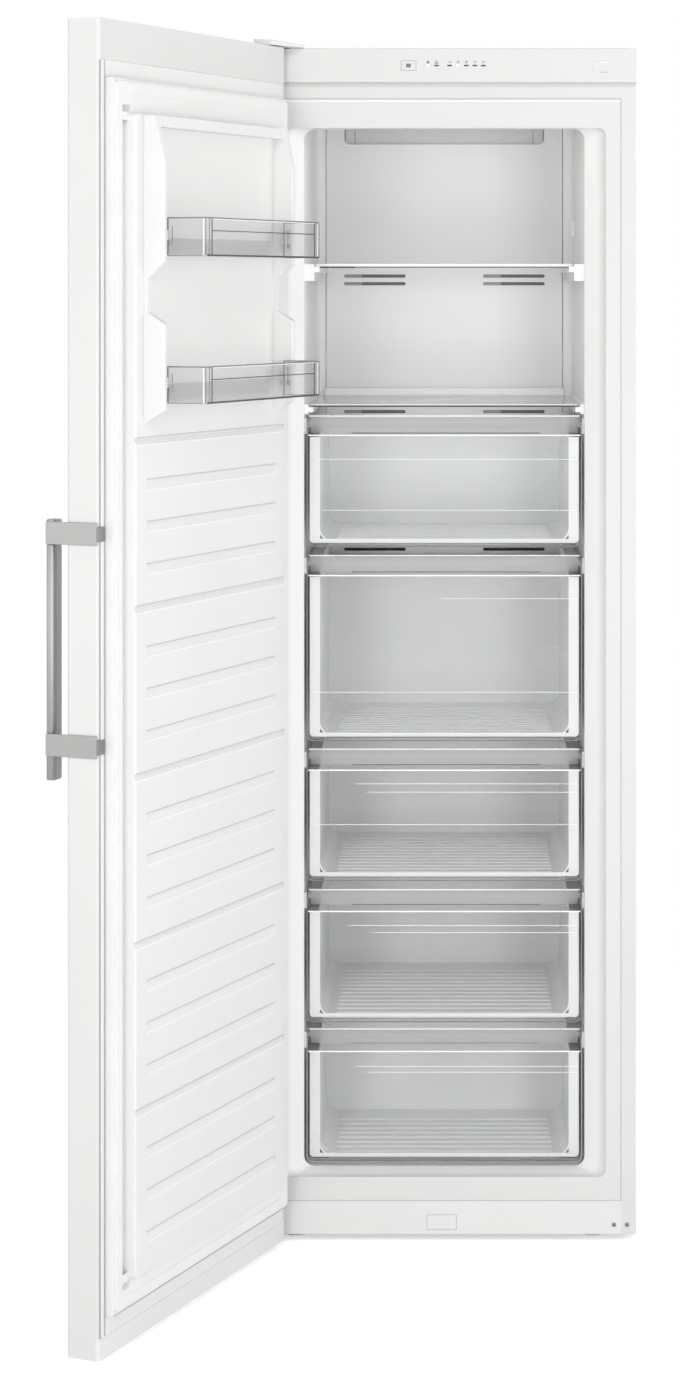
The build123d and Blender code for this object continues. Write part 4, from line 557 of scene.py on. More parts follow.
def makeDrawerTrim():
    # wall behind the fingers, and the painted highlights, painted reflections and painted shade lines of each
    # clear drawer front
    trim = {
        "frontDepth": 45.0, "gripDrop": 29.0, "gripDepth": 50.0, "gripLean": 22.0,
        # thickness of the wall, and its distance from the sides, the lip, the grip's shelf and the top
        "wall": 0.5, "wallSides": 3.0, "wallLip": 0.3, "wallShelf": 0.5, "wallTop": 2.5,
        # bright lines: width, gap at the ends, then how far each lies ahead of its edge and below it
        "line": 2.0, "lineEnds": 1.0,
        "rimAhead": 2.2, "rimDrop": 0.7, "shelfAhead": 0.2, "shelfDrop": 0.8,
        "thinLine": 0.8, "thinBack": 0.1, "thinEnd": 5.0,
        # painted reflections: drop of each thin line from the drawer's top edge, and where it starts
        "thinLines": (
            ((67.3, -197.0), (147.1, -191.0)),
            ((66.0, -5.0), (212.4, -205.0)),
            ((51.2, -140.0), (64.3, -120.0), (115.0, -200.0)),
            ((51.8, -150.0), (62.9, -110.0)),
            ((53.4, -140.0), (62.6, -120.0)),
        ),
        # shaded lines: down the sides, round the lower corners, along the foot and in the grip's crease
        "side": 1.9, "sideOut": 0.9, "sideDrop": 0.8, "bendBack": 5.0, "bendDrop": 9.5, "shelfBend": 1.0,
        "corner": 9.0, "cornerCut": 0.3, "edge": 1.6, "footRise": 0.7, "innerEnds": 6.0, "innerRise": 5.2,
        "creaseLeft": -146.0, "creaseRight": 151.0, "creaseAhead": 0.8, "creaseRise": 0.6,
    }
    front = depthY(trim["frontDepth"])
    back = front + trim["gripDepth"]
    lipY = back - trim["gripLean"]
    thinY = front + trim["thinBack"]
    corner = trim["corner"]
    cut = corner * trim["cornerCut"]
    for number in range(1, 6):
        low, high = boxMm(f"drawer_front_{number}")
        body = f"drawer_{number}"
        left, right, top, bottom = low.x, high.x, high.z, low.z
        shelf = top - trim["gripDrop"]
        mesh = bmesh.new()
        wallY = lipY - trim["wallLip"]
        addBlock(
            mesh,
            (left + trim["wallSides"], wallY - trim["wall"], shelf + trim["wallShelf"]),
            (right - trim["wallSides"], wallY, top - trim["wallTop"]),
        )
        for vert in mesh.verts:
            vert.co.y += trim["gripLean"] / trim["gripDrop"] * (top * mm - vert.co.z)
        newPiece(f"gripWall{number}", mesh, "frostedPolystyrene", body)

        mesh = bmesh.new()
        ends = (left + trim["lineEnds"], right - trim["lineEnds"])
        addLevel(mesh, *ends, lipY - trim["rimAhead"], top - trim["rimDrop"], trim["line"])
        addLevel(mesh, *ends, front - trim["shelfAhead"], shelf - trim["shelfDrop"], trim["line"])
        for drop, start in trim["thinLines"][number - 1]:
            addLevel(mesh, start, right - trim["thinEnd"], thinY, top - drop, trim["thinLine"])
        newPiece(f"brightRims{number}", mesh, "brightEdge", body)

        mesh = bmesh.new()
        foot = bottom + trim["footRise"]
        for side, x in ((1, left - trim["sideOut"]), (-1, right + trim["sideOut"])):
            outline = [
                (x, lipY, top - trim["sideDrop"]),
                (x, front + trim["bendBack"], top - trim["bendDrop"]),
                (x, front, shelf - trim["shelfBend"]),
                (x, front, bottom + corner),
                (x + side * cut, front, bottom + cut),
                (x + side * corner, front, foot),
            ]
            addLine(mesh, outline, trim["side"])
        addLevel(mesh, left + corner, right - corner, front, foot, trim["edge"])
        ends = (left + trim["innerEnds"], right - trim["innerEnds"])
        addLevel(mesh, *ends, thinY, bottom + trim["innerRise"], trim["thinLine"])
        ends = (trim["creaseLeft"], trim["creaseRight"])
        addLevel(mesh, *ends, back - trim["creaseAhead"], shelf + trim["creaseRise"], trim["edge"])
        rimFinish = "paleEdge" if number == 5 else "shadedEdge"
        newPiece(f"shadedRims{number}", mesh, rimFinish, body)


def makeShelfTrim():
    # painted shade along the front edge of the upper shelf, darkest at its left end; painted shade on the
    # lower edge and a painted highlight on the upper edge of the lower glass
    edge = {
        "line": 2.0, "darkLine": 2.4, "darkReach": 62.0, "ends": 6.0, "proud": 0.5, "rise": 1.1,
        "glassEnds": 3.0, "glassProud": 0.6,
        "shadeLine": 2.4, "shadeRise": 1.3, "gleamLine": 1.4, "gleamDrop": 0.6,
    }
    low, high = boxMm("upper_shelf_trim")
    y, z = low.y - edge["proud"], low.z + edge["rise"]
    split = low.x + edge["darkReach"]
    mesh = bmesh.new()
    addLevel(mesh, split, high.x - edge["ends"], y, z, edge["line"])
    newPiece("upperShelfShade", mesh, "shadedEdge", "upper_shelf")
    mesh = bmesh.new()
    addLevel(mesh, low.x + edge["ends"], split, y, z, edge["darkLine"])
    newPiece("upperShelfDark", mesh, "deepShade", "upper_shelf")

    low, high = boxMm("lower_shelf_glass")
    left, right, y = low.x + edge["glassEnds"], high.x - edge["glassEnds"], low.y - edge["glassProud"]
    mesh = bmesh.new()
    addLevel(mesh, left, right, y, low.z + edge["shadeRise"], edge["shadeLine"])
    newPiece("lowerShelfShade", mesh, "deepShade", "lower_shelf")
    mesh = bmesh.new()
    addLevel(mesh, left, right, y, high.z - edge["gleamDrop"], edge["gleamLine"])
    newPiece("lowerShelfGleam", mesh, "brightEdge", "lower_shelf")


def makeBinTrim():
    # lines where the light is lost or caught in the bins: rim, rail, uprights of the front panel, foot
    trim = {
        "half": 189.0, "front": 108.5, "corner": 6.0, "cornerCut": 0.3, "emerge": 49.5,
        "panelHalf": 170.0, "frameHalf": 178.0, "endGap": 1.0, "rimDrop": 0.7, "railDrop": 18.5,
        "rim": 1.7, "rail": 1.3, "railProud": 0.6, "thin": 1.0, "sideRise": 0.8,
        # side wall: how far in the corner's line lies, then inset, place and ends of the short one
        "bendIn": 0.8, "shortIn": 0.6, "shortProud": 56.0, "shortLow": 16.0, "shortHigh": 42.0,
        "foot": 2.6, "footRise": 1.2,
        "gleam": 1.6, "gleamIn": 0.2, "gleamBack": 3.5, "gleamGap": 2.0, "lipProud": 0.2, "lipDrop": 1.6,
        "bins": (("door_bin_upper", 1521.0, 1575.0), ("door_bin_lower", 1316.0, 1368.0)),
    }
    half, panelHalf, front, corner = trim["half"], trim["panelHalf"], trim["front"], trim["corner"]
    cut = corner * trim["cornerCut"]
    emergeY, bendY, faceY = proudY(trim["emerge"]), proudY(front - corner), proudY(front)
    quarter = [(half, emergeY), (half, bendY), (half - cut, proudY(front - cut)), (half - corner, faceY)]
    outline = quarter + [(-x, y) for x, y in reversed(quarter)]
    for name, low, high in trim["bins"]:
        start, rim = low + trim["endGap"], high - trim["rimDrop"]
        mesh = bmesh.new()
        addLine(mesh, [(x, y, rim) for x, y in outline], trim["rim"])
        for side in (1, -1):
            addUpright(mesh, side * half, emergeY, start, rim, trim["rim"])
            x, y = side * (half - trim["bendIn"]), proudY(front - trim["bendIn"])
            addUpright(mesh, x, y, start, rim, trim["thin"])
            x, y = side * (half - trim["shortIn"]), proudY(trim["shortProud"])
            addUpright(mesh, x, y, low + trim["shortLow"], low + trim["shortHigh"], trim["thin"])
            x, z = side * half, low + trim["sideRise"]
            addBar(mesh, (x, emergeY, z), (x, bendY, z), trim["thin"])
        addUpright(mesh, trim["frameHalf"], faceY, start, rim, trim["thin"])
        swingOpen(mesh)
        newPiece(f"{name}_rims", mesh, "shadedEdge", name)

        mesh = bmesh.new()
        addLevel(mesh, half - corner, corner - half, faceY, low + trim["footRise"], trim["foot"])
        railY, railZ = proudY(front + trim["railProud"]), high - trim["railDrop"]
        addLevel(mesh, panelHalf, -panelHalf, railY, railZ, trim["rail"])
        for side in (1, -1):
            addUpright(mesh, side * panelHalf, faceY, start, rim, trim["rail"])
        swingOpen(mesh)
        newPiece(f"{name}_foot", mesh, "deepShade", name)

        mesh = bmesh.new()
        for side in (1, -1):
            x, y = side * (half - trim["gleamIn"]), proudY(front - trim["gleamBack"])
            addUpright(mesh, x, y, low + trim["gleamGap"], high - trim["gleamGap"], trim["gleam"])
        lipY, lipZ = proudY(front + trim["lipProud"]), rim - trim["lipDrop"]
        addLevel(mesh, panelHalf, -panelHalf, lipY, lipZ, trim["thin"])
        swingOpen(mesh)
        newPiece(f"{name}_gleam", mesh, "brightEdge", name)


def addSign(mesh, text, x, z, height, plane):
    # generic number as a thin raised print, its curve made a mesh before it is placed
    sign = {"sizeToHeight": 1.4, "thick": 0.03}
    curve = bpy.data.curves.new("sign", "FONT")
    curve.body = text
    curve.size = height * mm * sign["sizeToHeight"]
    curve.align_x = "CENTER"
    curve.align_y = "CENTER"
    curve.extrude = sign["thick"] * mm
    drawn = bpy.data.objects.new("sign", curve)
    flat = bpy.data.meshes.new_from_object(drawn)
    flat.transform(Matrix.Translation(millimetres(x, plane, z)) @ Matrix.Rotation(math.radians(90), 4, "X"))
    mesh.from_mesh(flat)
    bpy.data.objects.remove(drawn)
    bpy.data.curves.remove(curve)
    bpy.data.meshes.remove(flat)


def makeControls():
    # print of the panel, three lines on the button, and the two windows that are lit
    panel = {
        "plane": -300.1, "printDepth": 0.12,
        "numberZ": 1826.4, "numberHeight": 3.6,
        "numbers": (("16", 8.2), ("18", 20.8), ("20", 34.1), ("22", 47.3), ("24", 60.5)),
        "starX": -25.3, "starReach": 2.7, "starLine": 0.8,
        "alarmX": -12.1, "alarmHalf": 2.6, "alarmHeight": 4.4, "alarmLine": 0.7,
        "legend": (-55.5, 1820.9), "legendHalf": 3.8, "legendPitch": 2.1, "legendLine": 1.5,
        "legendProud": 0.06,
        "litWindows": (-25.3, 20.8), "windowZ": 1821.0, "window": (5.6, 2.0),
        "windowProud": 0.1, "windowRadius": 0.06,
    }
    y, depth = panel["plane"], panel["printDepth"]
    mesh = bmesh.new()
    for text, x in panel["numbers"]:
        addSign(mesh, text, x, panel["numberZ"], panel["numberHeight"], y)
    x, z = panel["starX"], panel["numberZ"]
    for turn in (0, 60, 120):
        dx = panel["starReach"] * math.cos(math.radians(turn))
        dz = panel["starReach"] * math.sin(math.radians(turn))
        addBar(mesh, (x - dx, y, z - dz), (x + dx, y, z + dz), panel["starLine"], depth)
    foot = panel["numberZ"] - panel["alarmHeight"] / 2
    corners = [
        (panel["alarmX"] - panel["alarmHalf"], y, foot),
        (panel["alarmX"] + panel["alarmHalf"], y, foot),
        (panel["alarmX"], y, foot + panel["alarmHeight"]),
    ]
    addLine(mesh, corners + corners[:1], panel["alarmLine"], depth)
    newPiece("panelSigns", mesh, "printInk", "cabinet")

    mesh = bmesh.new()
    x, z = panel["legend"]
    left, right = x - panel["legendHalf"], x + panel["legendHalf"]
    face = boxMm("mode_button")[0].y - panel["legendProud"]
    for row in (-1, 0, 1):
        addLevel(mesh, left, right, face, z + row * panel["legendPitch"], panel["legendLine"], depth)
    newPiece("buttonLegend", mesh, "printInk", "mode_button")

    mesh = bmesh.new()
    half = Vector((panel["window"][0] / 2, panel["windowProud"], panel["window"][1] / 2))
    for x in panel["litWindows"]:
        middle = Vector((x, y, panel["windowZ"]))
        addBlock(mesh, middle - half, middle + half, panel["windowRadius"])
    newPiece("litWindows", mesh, "litWindow", "cabinet")


def makeScrewRecesses():
    # painted shade in the cross recesses of the two screws beside the plinth
    recess = {
        "places": (263.0, 283.2), "height": 24.4, "reach": 2.0, "width": 0.9, "depth": 0.2, "plane": -294.05,
    }
    y, z, reach = recess["plane"], recess["height"], recess["reach"]
    mesh = bmesh.new()
    for x in recess["places"]:
        addLevel(mesh, x - reach, x + reach, y, z, recess["width"], recess["depth"])
        addUpright(mesh, x, y, z - reach, z + reach, recess["width"], recess["depth"])
    newPiece("screwRecessShade", mesh, "deepShade", "cabinet")


def makeReturnBaffle():
    # grey plate set back in the air return, its grey painted for the shade there; painted shade at its ends,
    # its two ribs and a painted highlight on the lip below it
    baffle = {
        "half": 174.0, "low": 1720.4, "high": 1747.5, "depth": 486.0, "thick": 1.6, "radius": 0.5,
        "ribs": (-152.0, 151.0), "rib": 1.2, "ribAhead": 0.6, "ribGap": 1.0,
        # shaded ends: x and width of each, how far ahead of the plate and where they start
        "ends": ((-168.6, 2.0), (168.6, 1.2)), "endAhead": 0.8, "endRise": 6.0,
        "lipHalf": 163.0, "lipDepth": 479.8, "lip": 1.8,
    }
    y, low, high = depthY(baffle["depth"]), baffle["low"], baffle["high"]
    mesh = bmesh.new()
    addBlock(mesh, (-baffle["half"], y, low), (baffle["half"], y + baffle["thick"], high), baffle["radius"])
    newPiece("returnBaffle", mesh, "returnShade", "cabinet")
    mesh = bmesh.new()
    top = high - baffle["ribGap"]
    for x in baffle["ribs"]:
        addUpright(mesh, x, y - baffle["ribAhead"], low + baffle["ribGap"], top, baffle["rib"])
    for x, width in baffle["ends"]:
        addUpright(mesh, x, y - baffle["endAhead"], low + baffle["endRise"], top, width)
    newPiece("returnRibsAndEndShade", mesh, "ductShade", "cabinet")
    mesh = bmesh.new()
    addLevel(mesh, -baffle["lipHalf"], baffle["lipHalf"], depthY(baffle["lipDepth"]), low, baffle["lip"])
    newPiece("returnLipHighlight", mesh, "brightEdge", "cabinet")


def makeVentGuards():
    # set-back walls behind the vents of the air cover, painted dark for the duct's shade, each with its left
    # end painted paler where more light reaches it
    guard = {
        "reach": 112.0, "height": 9.0, "depth": 485.0, "thick": 1.2, "radius": 0.3, "centre": 118.5,
        "levels": (1497.0, 1484.0, 1266.0), "paleReach": 34.0, "paleAhead": 0.6, "paleRadius": 0.2,
    }
    y, half = depthY(guard["depth"]), guard["height"] / 2
    walls, paleEnds = bmesh.new(), bmesh.new()
    for z in guard["levels"]:
        for side in (-1, 1):
            x = side * guard["centre"] - guard["reach"] / 2
            end = (x + guard["reach"], y + guard["thick"], z + half)
            addBlock(walls, (x, y, z - half), end, guard["radius"])
            end = (x + guard["paleReach"], y, z + half)
            addBlock(paleEnds, (x, y - guard["paleAhead"], z - half), end, guard["paleRadius"])
    newPiece("ventShadeWalls", walls, "ventShade", "cabinet")
    newPiece("ventLitEnds", paleEnds, "ductShade", "cabinet")


def makeHingeGap():
    # shadow gap under the hinge cover, over the end of the fascia
    gap = {"left": -250.0, "right": -238.0, "y": -300.2, "z": 1847.6, "width": 1.3, "depth": 0.4}
    mesh = bmesh.new()
    addLevel(mesh, gap["left"], gap["right"], gap["y"], gap["z"], gap["width"], gap["depth"])
    newPiece("hingeCoverGap", mesh, "deepShade", "cabinet")


def makeDoorLines():
    # bead of sealant over the joint between skin and liner, painted joint shadows beside it, a painted shade
    # line under the gasket
    joint = {
        "low": 42.5, "high": 1788.5,
        "sealX": 289.9, "sealWidth": 3.0, "sealDepth": 1.0, "sealProud": 0.2,
        "edges": (294.6, 281.4), "width": 1.4, "proud": 0.1,
        "footHalf": 277.0, "footZ": 69.2, "footProud": 12.5, "footWidth": 1.1,
    }
    low, high = joint["low"], joint["high"]
    mesh = bmesh.new()
    y = proudY(joint["sealProud"])
    addUpright(mesh, joint["sealX"], y, low, high, joint["sealWidth"], joint["sealDepth"])
    swingOpen(mesh)
    newPiece("doorSealant", mesh, "gasketPvc", "door")
    mesh = bmesh.new()
    for x in joint["edges"]:
        addUpright(mesh, x, proudY(joint["proud"]), low, high, joint["width"])
    swingOpen(mesh)
    newPiece("doorJointShadows", mesh, "paleEdge", "door")
    mesh = bmesh.new()
    y = proudY(joint["footProud"])
    addLevel(mesh, -joint["footHalf"], joint["footHalf"], y, joint["footZ"], joint["footWidth"])
    swingOpen(mesh)
    newPiece("gasketFootShade", mesh, "seamShade", "door")


def makeGasketLips():
    # thin lips of the gasket that lie over the gap round the door's plug
    lip = {
        "outer": 254.5, "inner": 241.8, "hingeInner": 245.2, "low": 87.2, "high": 1747.4, "endOuter": 259.2,
        "sideLow": 93.0, "sideHigh": 1741.5, "cornerInner": 236.0, "cornerReach": 11.0,
        "plugLow": 109.0, "plugHigh": 1719.0, "proud": 5.6, "endProud": 13.9, "thick": 1.0, "radius": 0.4,
    }
    radius, outer, endOuter = lip["radius"], lip["outer"], lip["endOuter"]
    mesh = bmesh.new()
    near, far = proudY(lip["endProud"]), proudY(lip["endProud"] + lip["thick"])
    addBlock(mesh, (-endOuter, near, lip["plugHigh"]), (endOuter, far, lip["high"]), radius)
    addBlock(mesh, (-endOuter, near, lip["low"]), (endOuter, far, lip["plugLow"]), radius)
    for z in (lip["plugLow"], lip["plugHigh"]):
        low, high = z - lip["cornerReach"], z + lip["cornerReach"]
        addBlock(mesh, (lip["cornerInner"], near, low), (endOuter, far, high), radius)
    near, far = proudY(lip["proud"]), proudY(lip["proud"] + lip["thick"])
    addBlock(mesh, (lip["inner"], near, lip["sideLow"]), (outer, far, lip["sideHigh"]), radius)
    addBlock(mesh, (-outer, near, lip["plugLow"]), (-lip["hingeInner"], far, lip["plugHigh"]), radius)
    swingOpen(mesh)
    newPiece("gasketLips", mesh, "gasketPvc", "door")


def makeGasketSkirt():
    # outer skirt of the gasket, which closes its waist from the side
    skirt = {"inner": 277.2, "outer": 278.4, "low": 68.7, "high": 1765.9, "proud": (0.4, 12.4), "radius": 0.4}
    inner, outer, low, high = skirt["inner"], skirt["outer"], skirt["low"], skirt["high"]
    wall = outer - inner
    near, far = (proudY(value) for value in skirt["proud"])
    mesh = bmesh.new()
    for left, right in ((-outer, -inner), (inner, outer)):
        addBlock(mesh, (left, near, low), (right, far, high), skirt["radius"])
    addBlock(mesh, (-inner, near, low), (inner, far, low + wall), skirt["radius"])
    addBlock(mesh, (-inner, near, high - wall), (inner, far, high), skirt["radius"])
    swingOpen(mesh)
    newPiece("gasketSkirt", mesh, "gasketPvc", "door")


def makePlugCreases():
    # painted shade along the upper edges of the liner's grooves, where the formed sheet turns sharply, and a
    # painted highlight along their soft lower edges
    crease = {
        "first": 1270.0, "pitch": 231.8, "panels": 5, "reach": 238.0, "fall": 11.0,
        "ribs": 3, "ribPitch": 58.5, "ribReach": 206.5, "ribFall": 15.3, "lowest": 118.0,
        "proud": 25.6, "line": 2.0, "lineDrop": 0.3, "soft": 1.5,
    }
    y = proudY(crease["proud"])
    shade, gleam = bmesh.new(), bmesh.new()
    for panel in range(crease["panels"]):
        top = crease["first"] - panel * crease["pitch"]
        rows = [(top, crease["reach"], crease["fall"])]
        for rib in range(1, crease["ribs"] + 1):
            rows.append((top - rib * crease["ribPitch"], crease["ribReach"], crease["ribFall"]))
        for z, reach, fall in rows:
            if z - fall < crease["lowest"]:
                continue
            addLevel(shade, -reach, reach, y, z - crease["lineDrop"], crease["line"])
            addLevel(gleam, -reach, reach, y, z - fall, crease["soft"])
    for name, mesh, finishName in (
        ("plugGrooveShade", shade, "fasciaShade"),
        ("plugGrooveHighlights", gleam, "coverPolystyreneAndHighlight"),
    ):
        swingOpen(mesh)
        newPiece(name, mesh, finishName, "door")


def makeFrontSeams():
    # seams of the cabinet's front: under the fascia, round the flange, over the plinth and round its flap; a
    # painted highlight under the top seam, and the fascia's painted shadow
    seam = {
        "y": -292.15, "half": 274.0, "high": 1770.0, "plinth": 62.0, "width": 1.2, "depth": 0.3,
        "flap": (-27.0, 19.0, 17.0, 40.0), "flapWidth": 0.7,
        "gleamDrop": 3.6, "gleamWidth": 1.4,
        "shadeLow": 1788.0, "shadeHigh": 1795.0, "shadeHalf": 297.0, "shadeY": (-292.25, -291.95),
        "shadeRadius": 0.1,
    }
    y, half, depth = seam["y"], seam["half"], seam["depth"]
    mesh = bmesh.new()
    addLevel(mesh, -half, half, y, seam["high"], seam["width"], depth)
    addUpright(mesh, half, y, seam["plinth"], seam["high"], seam["width"], depth)
    addLevel(mesh, -half, half, y, seam["plinth"], seam["width"], depth)
    left, right, low, high = seam["flap"]
    outline = [(left, y, low), (right, y, low), (right, y, high), (left, y, high), (left, y, low)]
    addLine(mesh, outline, seam["flapWidth"], depth)
    newPiece("frontSeams", mesh, "seamShade", "cabinet")
    mesh = bmesh.new()
    addLevel(mesh, -half, half, y, seam["high"] - seam["gleamDrop"], seam["gleamWidth"], depth)
    newPiece("flangeGleam", mesh, "brightEdge", "cabinet")
    mesh = bmesh.new()
    near, far = seam["shadeY"]
    low, high = (-seam["shadeHalf"], near, seam["shadeLow"]), (seam["shadeHalf"], far, seam["shadeHigh"])
    addBlock(mesh, low, high, seam["shadeRadius"])
    newPiece("fasciaShadow", mesh, "fasciaShade", "cabinet")


def makeCapLines():
    # upper edge of the fascia's raised cap catches the light, its lower edge loses it
    cap = {
        "left": 241.0, "right": 253.4, "y": -300.45, "width": 0.9, "depth": 0.2,
        "lines": (("capGleam", 1826.3, "brightEdge"), ("capShade", 1810.7, "seamShade")),
    }
    for name, z, finishName in cap["lines"]:
        mesh = bmesh.new()
        addLevel(mesh, cap["left"], cap["right"], cap["y"], z, cap["width"], cap["depth"])
        newPiece(name, mesh, finishName, "cabinet")


def makeHingeWedge():
    # the hinge cover as the photograph shows it: thin, falling towards the cabinet's middle
    wedge = {
        "low": 1848.3, "radius": 1.4, "segments": 3,
        "outline": ((-291, -364), (-262, -364), (-216, -302), (-216, -230), (-291, -230)),
        # height of the top at each x of the outline
        "tops": {-291: 1857.0, -262: 1856.0, -216: 1853.0},
    }
    mesh = bmesh.new()
    corners = [mesh.verts.new(millimetres(x, y, wedge["low"])) for x, y in wedge["outline"]]
    raised = list(raiseFace(mesh, mesh.faces.new(corners)).verts)
    for vert in raised:
        vert.co.z = wedge["tops"][round(vert.co.x / mm)] * mm
    bmesh.ops.recalc_face_normals(mesh, faces=mesh.faces)
    edges = {edge for vert in raised for edge in vert.link_edges}
    easeEdges(mesh, list(edges), wedge["radius"], wedge["segments"])
    piece = newPiece("hingeWedge", mesh, "paintedWhiterAbs", "cabinet")
    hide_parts("top_hinge_cover")


def makeHandle():
    # handle bar with a softly rounded section, and its two straps, their ends flush with the bar
    grip = {
        # section: its middle, half sizes, how square it is and its number of sides
        "centre": (284.0, -385.0), "half": (13.5, 7.0), "power": 3.4, "around": 48,
        "low": 800.5, "high": 1159.0, "ease": 1.2,
        "straps": (849.5, 1140.5), "strapHalf": 15.5, "strapThick": 2.5, "strapFar": -389.6,
        "strapProud": -2.0, "strapRadius": 0.5,
        "tabHalf": 10.0, "tabReach": 14.0, "tabShort": 1.6, "tabProud": 2.5, "tabRadius": 0.6,
        "hookProud": (-3.0, 1.0), "hookRadius": 0.4,
    }
    mesh = bmesh.new()
    ring = bmesh.ops.create_circle(mesh, cap_ends=True, segments=grip["around"], radius=1.0)["verts"]
    for vert in ring:
        vert.co.xy = [math.copysign(abs(part) ** (2 / grip["power"]), part) for part in vert.co.xy]
    bmesh.ops.scale(mesh, verts=ring, vec=millimetres(*[half - grip["ease"] for half in grip["half"]], 0))
    bmesh.ops.translate(mesh, verts=ring, vec=millimetres(*grip["centre"], grip["low"]))
    crown = ring[0].link_faces[0]
    grow = [half / (half - grip["ease"]) for half in grip["half"]]
    shrink = [1 / part for part in grow]
    straight = grip["high"] - grip["low"] - 2 * grip["ease"]
    about = Matrix.Translation(-millimetres(*grip["centre"], 0))
    for rise, change in ((grip["ease"], grow), (straight, (1, 1)), (grip["ease"], shrink)):
        crown = raiseFace(mesh, crown)
        raised = list(crown.verts)
        bmesh.ops.scale(mesh, verts=raised, vec=(*change, 1), space=about)
        bmesh.ops.translate(mesh, verts=raised, vec=millimetres(0, 0, rise))
    bmesh.ops.recalc_face_normals(mesh, faces=mesh.faces)
    swingOpen(mesh)
    piece = newPiece("gripBar", mesh, "gripAluminiumPaintedLight", "door")
    for face in piece.data.polygons:
        face.use_smooth = len(face.vertices) == 4
    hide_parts("handle_bar")

    straps, tabs = bmesh.new(), bmesh.new()
    near, far = cabinet["halfWidth"], cabinet["halfWidth"] + grip["strapThick"]
    for z in grip["straps"]:
        low, high = z - grip["strapHalf"], z + grip["strapHalf"]
        end = (far, proudY(grip["strapProud"]), high)
        addBlock(straps, (near, grip["strapFar"], low), end, grip["strapRadius"])
        low, high = z - grip["tabHalf"], z + grip["tabHalf"]
        end = (far - grip["tabShort"], proudY(grip["tabProud"]), high)
        addBlock(tabs, (near - grip["tabReach"], proudY(0), low), end, grip["tabRadius"])
        back, front = (proudY(value) for value in grip["hookProud"])
        addBlock(tabs, (near, back, low), (far, front, high), grip["hookRadius"])
    swingOpen(straps)
    piece = newPiece("gripStraps", straps, "satinAluminium", "door")
    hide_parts("handle_brackets")
    swingOpen(tabs)
    newPiece("gripTabs", tabs, "darkAluminium", "door")


def makeRearScrews():
    # pan-head screws down both sides of the rear panel and along its top
    screw = {
        "halfX": 288.0, "rows": 9, "low": 232.0, "high": 1834.0, "topX": (-144, 0, 144),
        "sides": 14, "radius": 3.6, "crown": 0.6, "thick": 1.4, "y": 290.4,
    }
    pitch = (screw["high"] - screw["low"]) / (screw["rows"] - 1)
    levels = [screw["low"] + row * pitch for row in range(screw["rows"])]
    places = [(side * screw["halfX"], z) for side in (-1, 1) for z in levels]
    places += [(x, screw["high"]) for x in screw["topX"]]
    lying = Matrix.Rotation(math.radians(-90), 4, "X")
    mesh = bmesh.new()
    for x, z in places:
        bmesh.ops.create_cone(
            mesh,
            cap_ends=True,
            segments=screw["sides"],
            radius1=screw["radius"] * mm,
            radius2=screw["crown"] * screw["radius"] * mm,
            depth=screw["thick"] * mm,
            matrix=Matrix.Translation(millimetres(x, screw["y"], z)) @ lying,
        )
    newPiece("rearScrews", mesh, "zincPlate", "cabinet")


makeDrawerTrim()
makeShelfTrim()
makeBinTrim()
makeControls()
makeScrewRecesses()
makeReturnBaffle()
makeVentGuards()
makeHingeGap()
makeDoorLines()
makeGasketLips()
makeGasketSkirt()
makePlugCreases()
makeFrontSeams()
makeCapLines()
makeHingeWedge()
makeHandle()
makeRearScrews()


def makeStage():
    stage = {"size": 14.0, "colour": "#F6F6F6", "lift": 0.5, "nearM": 0.7, "farM": 1.8}
    mesh = bmesh.new()
    bmesh.ops.create_grid(mesh, x_segments=1, y_segments=1, size=stage["size"] / 2)
    data = bpy.data.meshes.new("studioFloor")
    mesh.to_mesh(data)
    mesh.free()
    floor = bpy.data.objects.new("studioFloor", data)
    bpy.context.scene.collection.objects.link(floor)
    material, tree, shader = startMaterial("paperFloor", stage["colour"], Roughness=0.9)
    data.materials.append(material)
    # lifted a little for the eye alone, so that the paper reads white but keeps the shadow
    shader.inputs["Emission Color"].default_value = (1, 1, 1, 1)
    seen = addNode(tree, "LightPath")
    share = {0: seen.outputs["Is Camera Ray"], 1: stage["lift"]}
    lift = addNode(tree, "Math", share, operation="MULTIPLY")
    tree.links.new(lift.outputs[0], shader.inputs["Emission Strength"])
    # towards its edges the paper runs out into the white of the backdrop
    place = addNode(tree, "TexCoord")
    distance = addNode(tree, "VectorMath", {0: place.outputs["Object"]}, operation="LENGTH")
    reach = {"Value": distance.outputs["Value"], "From Min": stage["nearM"], "From Max": stage["farM"]}
    fade = addNode(tree, "MapRange", reach, interpolation_type="SMOOTHSTEP")
    white = addNode(tree, "Emission", {"Color": (1, 1, 1, 1), "Strength": 1.0})
    mix = addNode(tree, "MixShader", {0: fade.outputs[0], 1: shader.outputs["BSDF"], 2: white.outputs[0]})
    takeSurface(tree, mix.outputs[0])


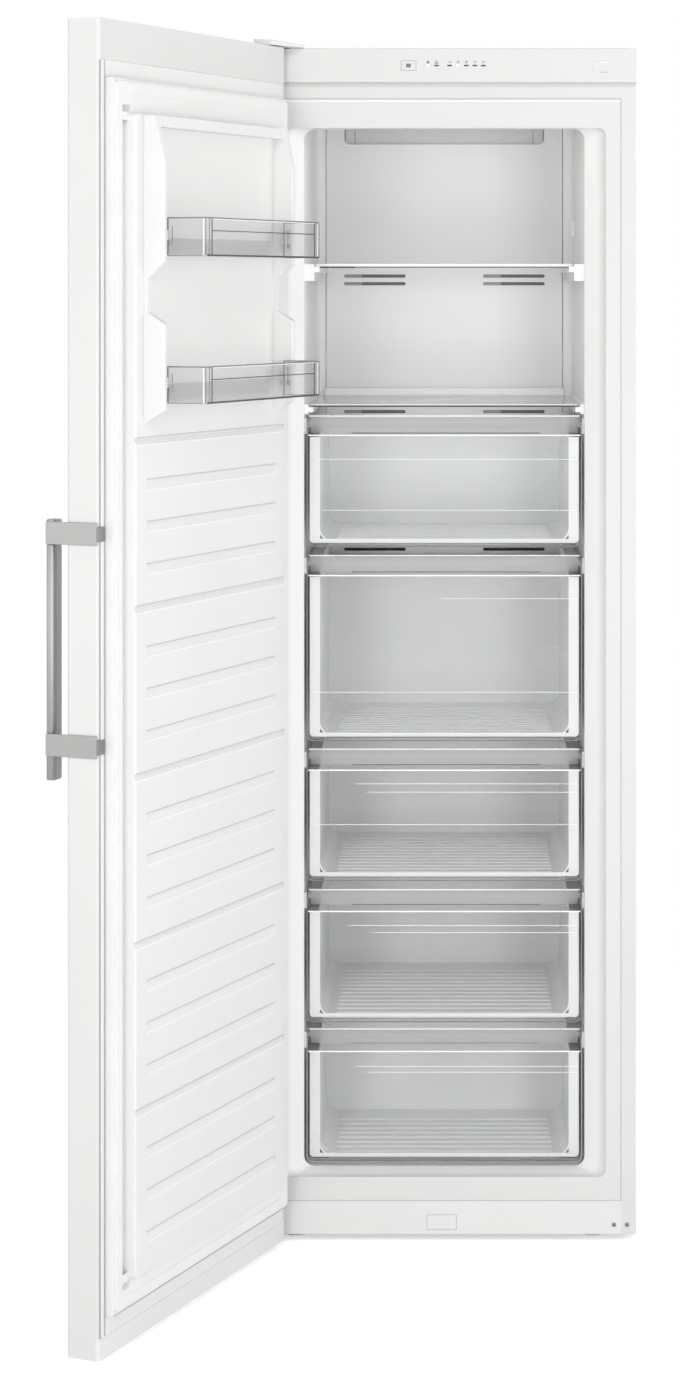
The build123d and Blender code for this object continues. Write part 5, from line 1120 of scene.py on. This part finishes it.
def makeLight():
    light = {
        "sky": 0.47,
        # name, place, width, height, power in watts, aimed at
        "lamps": (
            ("frontLeftBox", (-1.2, -4.7, 0.85), 0.9, 2.4, 42.0, (0, 0, 0.55)),
            ("frontRightBox", (1.2, -4.7, 0.85), 0.9, 2.4, 42.0, (0, 0, 0.55)),
            ("frontHighBox", (0.0, -4.5, 3.5), 2.4, 1.0, 42.0, (0, 0, 0.5)),
            ("leftPanel", (-3.6, -2.8, 1.4), 2.6, 2.4, 20.0, (0, 0, 0.8)),
            ("rightPanel", (3.7, -0.8, 1.4), 2.6, 2.4, 54.0, (-0.3, -0.6, 0.9)),
            ("rearPanel", (0.8, 4.2, 3.0), 3.0, 3.0, 60.0, (0, 0, 0.9)),
        ),
    }
    world = bpy.data.worlds.new("softSky")
    bpy.context.scene.world = world
    world.use_nodes = True
    tree = world.node_tree
    tree.nodes.clear()
    # full white for the eye, in gloss and through clear plastic; dimmer as the light that falls on things
    path = addNode(tree, "LightPath")
    seen = path.outputs["Is Camera Ray"]
    for ray in ("Is Glossy Ray", "Is Transmission Ray"):
        seen = addNode(tree, "Math", {0: seen, 1: path.outputs[ray]}, operation="MAXIMUM").outputs[0]
    strength = addNode(tree, "MapRange", {"Value": seen, "To Min": light["sky"], "To Max": 1.0})
    sky = addNode(tree, "Background", {"Color": (1, 1, 1, 1), "Strength": strength.outputs[0]})
    addNode(tree, "OutputWorld", {"Surface": sky.outputs[0]})
    for name, place, width, height, power, aim in light["lamps"]:
        data = bpy.data.lights.new(name, "AREA")
        data.shape = "RECTANGLE"
        data.size = width
        data.size_y = height
        data.energy = power
        lamp = bpy.data.objects.new(name, data)
        lamp.location = place
        lamp.rotation_euler = (Vector(aim) - Vector(place)).to_track_quat("-Z", "Y").to_euler()
        bpy.context.scene.collection.objects.link(lamp)


def makeCamera():
    # level camera on the cabinet's middle, 4837 mm ahead of its front; shifts frame the picture
    shot = {
        "distance": 4837, "height": 1476.7, "focalPx": 3120, "centrePx": (444.3, 288.0),
        "framePx": (680, 1393), "sensorMm": 36.0, "reachM": 50.0,
    }
    data = bpy.data.cameras.new("shotCamera")
    longSide = max(shot["framePx"])
    data.sensor_width = shot["sensorMm"]
    data.lens = shot["focalPx"] * data.sensor_width / longSide
    data.shift_x = (shot["framePx"][0] / 2 - shot["centrePx"][0]) / longSide
    data.shift_y = (shot["centrePx"][1] - shot["framePx"][1] / 2) / longSide
    data.clip_end = shot["reachM"]
    camera = bpy.data.objects.new("shotCamera", data)
    camera.location = (0, frontY - shot["distance"] * mm, shot["height"] * mm)
    camera.rotation_euler = (math.radians(90), 0, 0)
    bpy.context.scene.collection.objects.link(camera)
    bpy.context.scene.camera = camera
    bpy.context.scene.view_settings.view_transform = "Standard"


makeStage()
makeLight()
makeCamera()
print("stage, lights and camera ready")
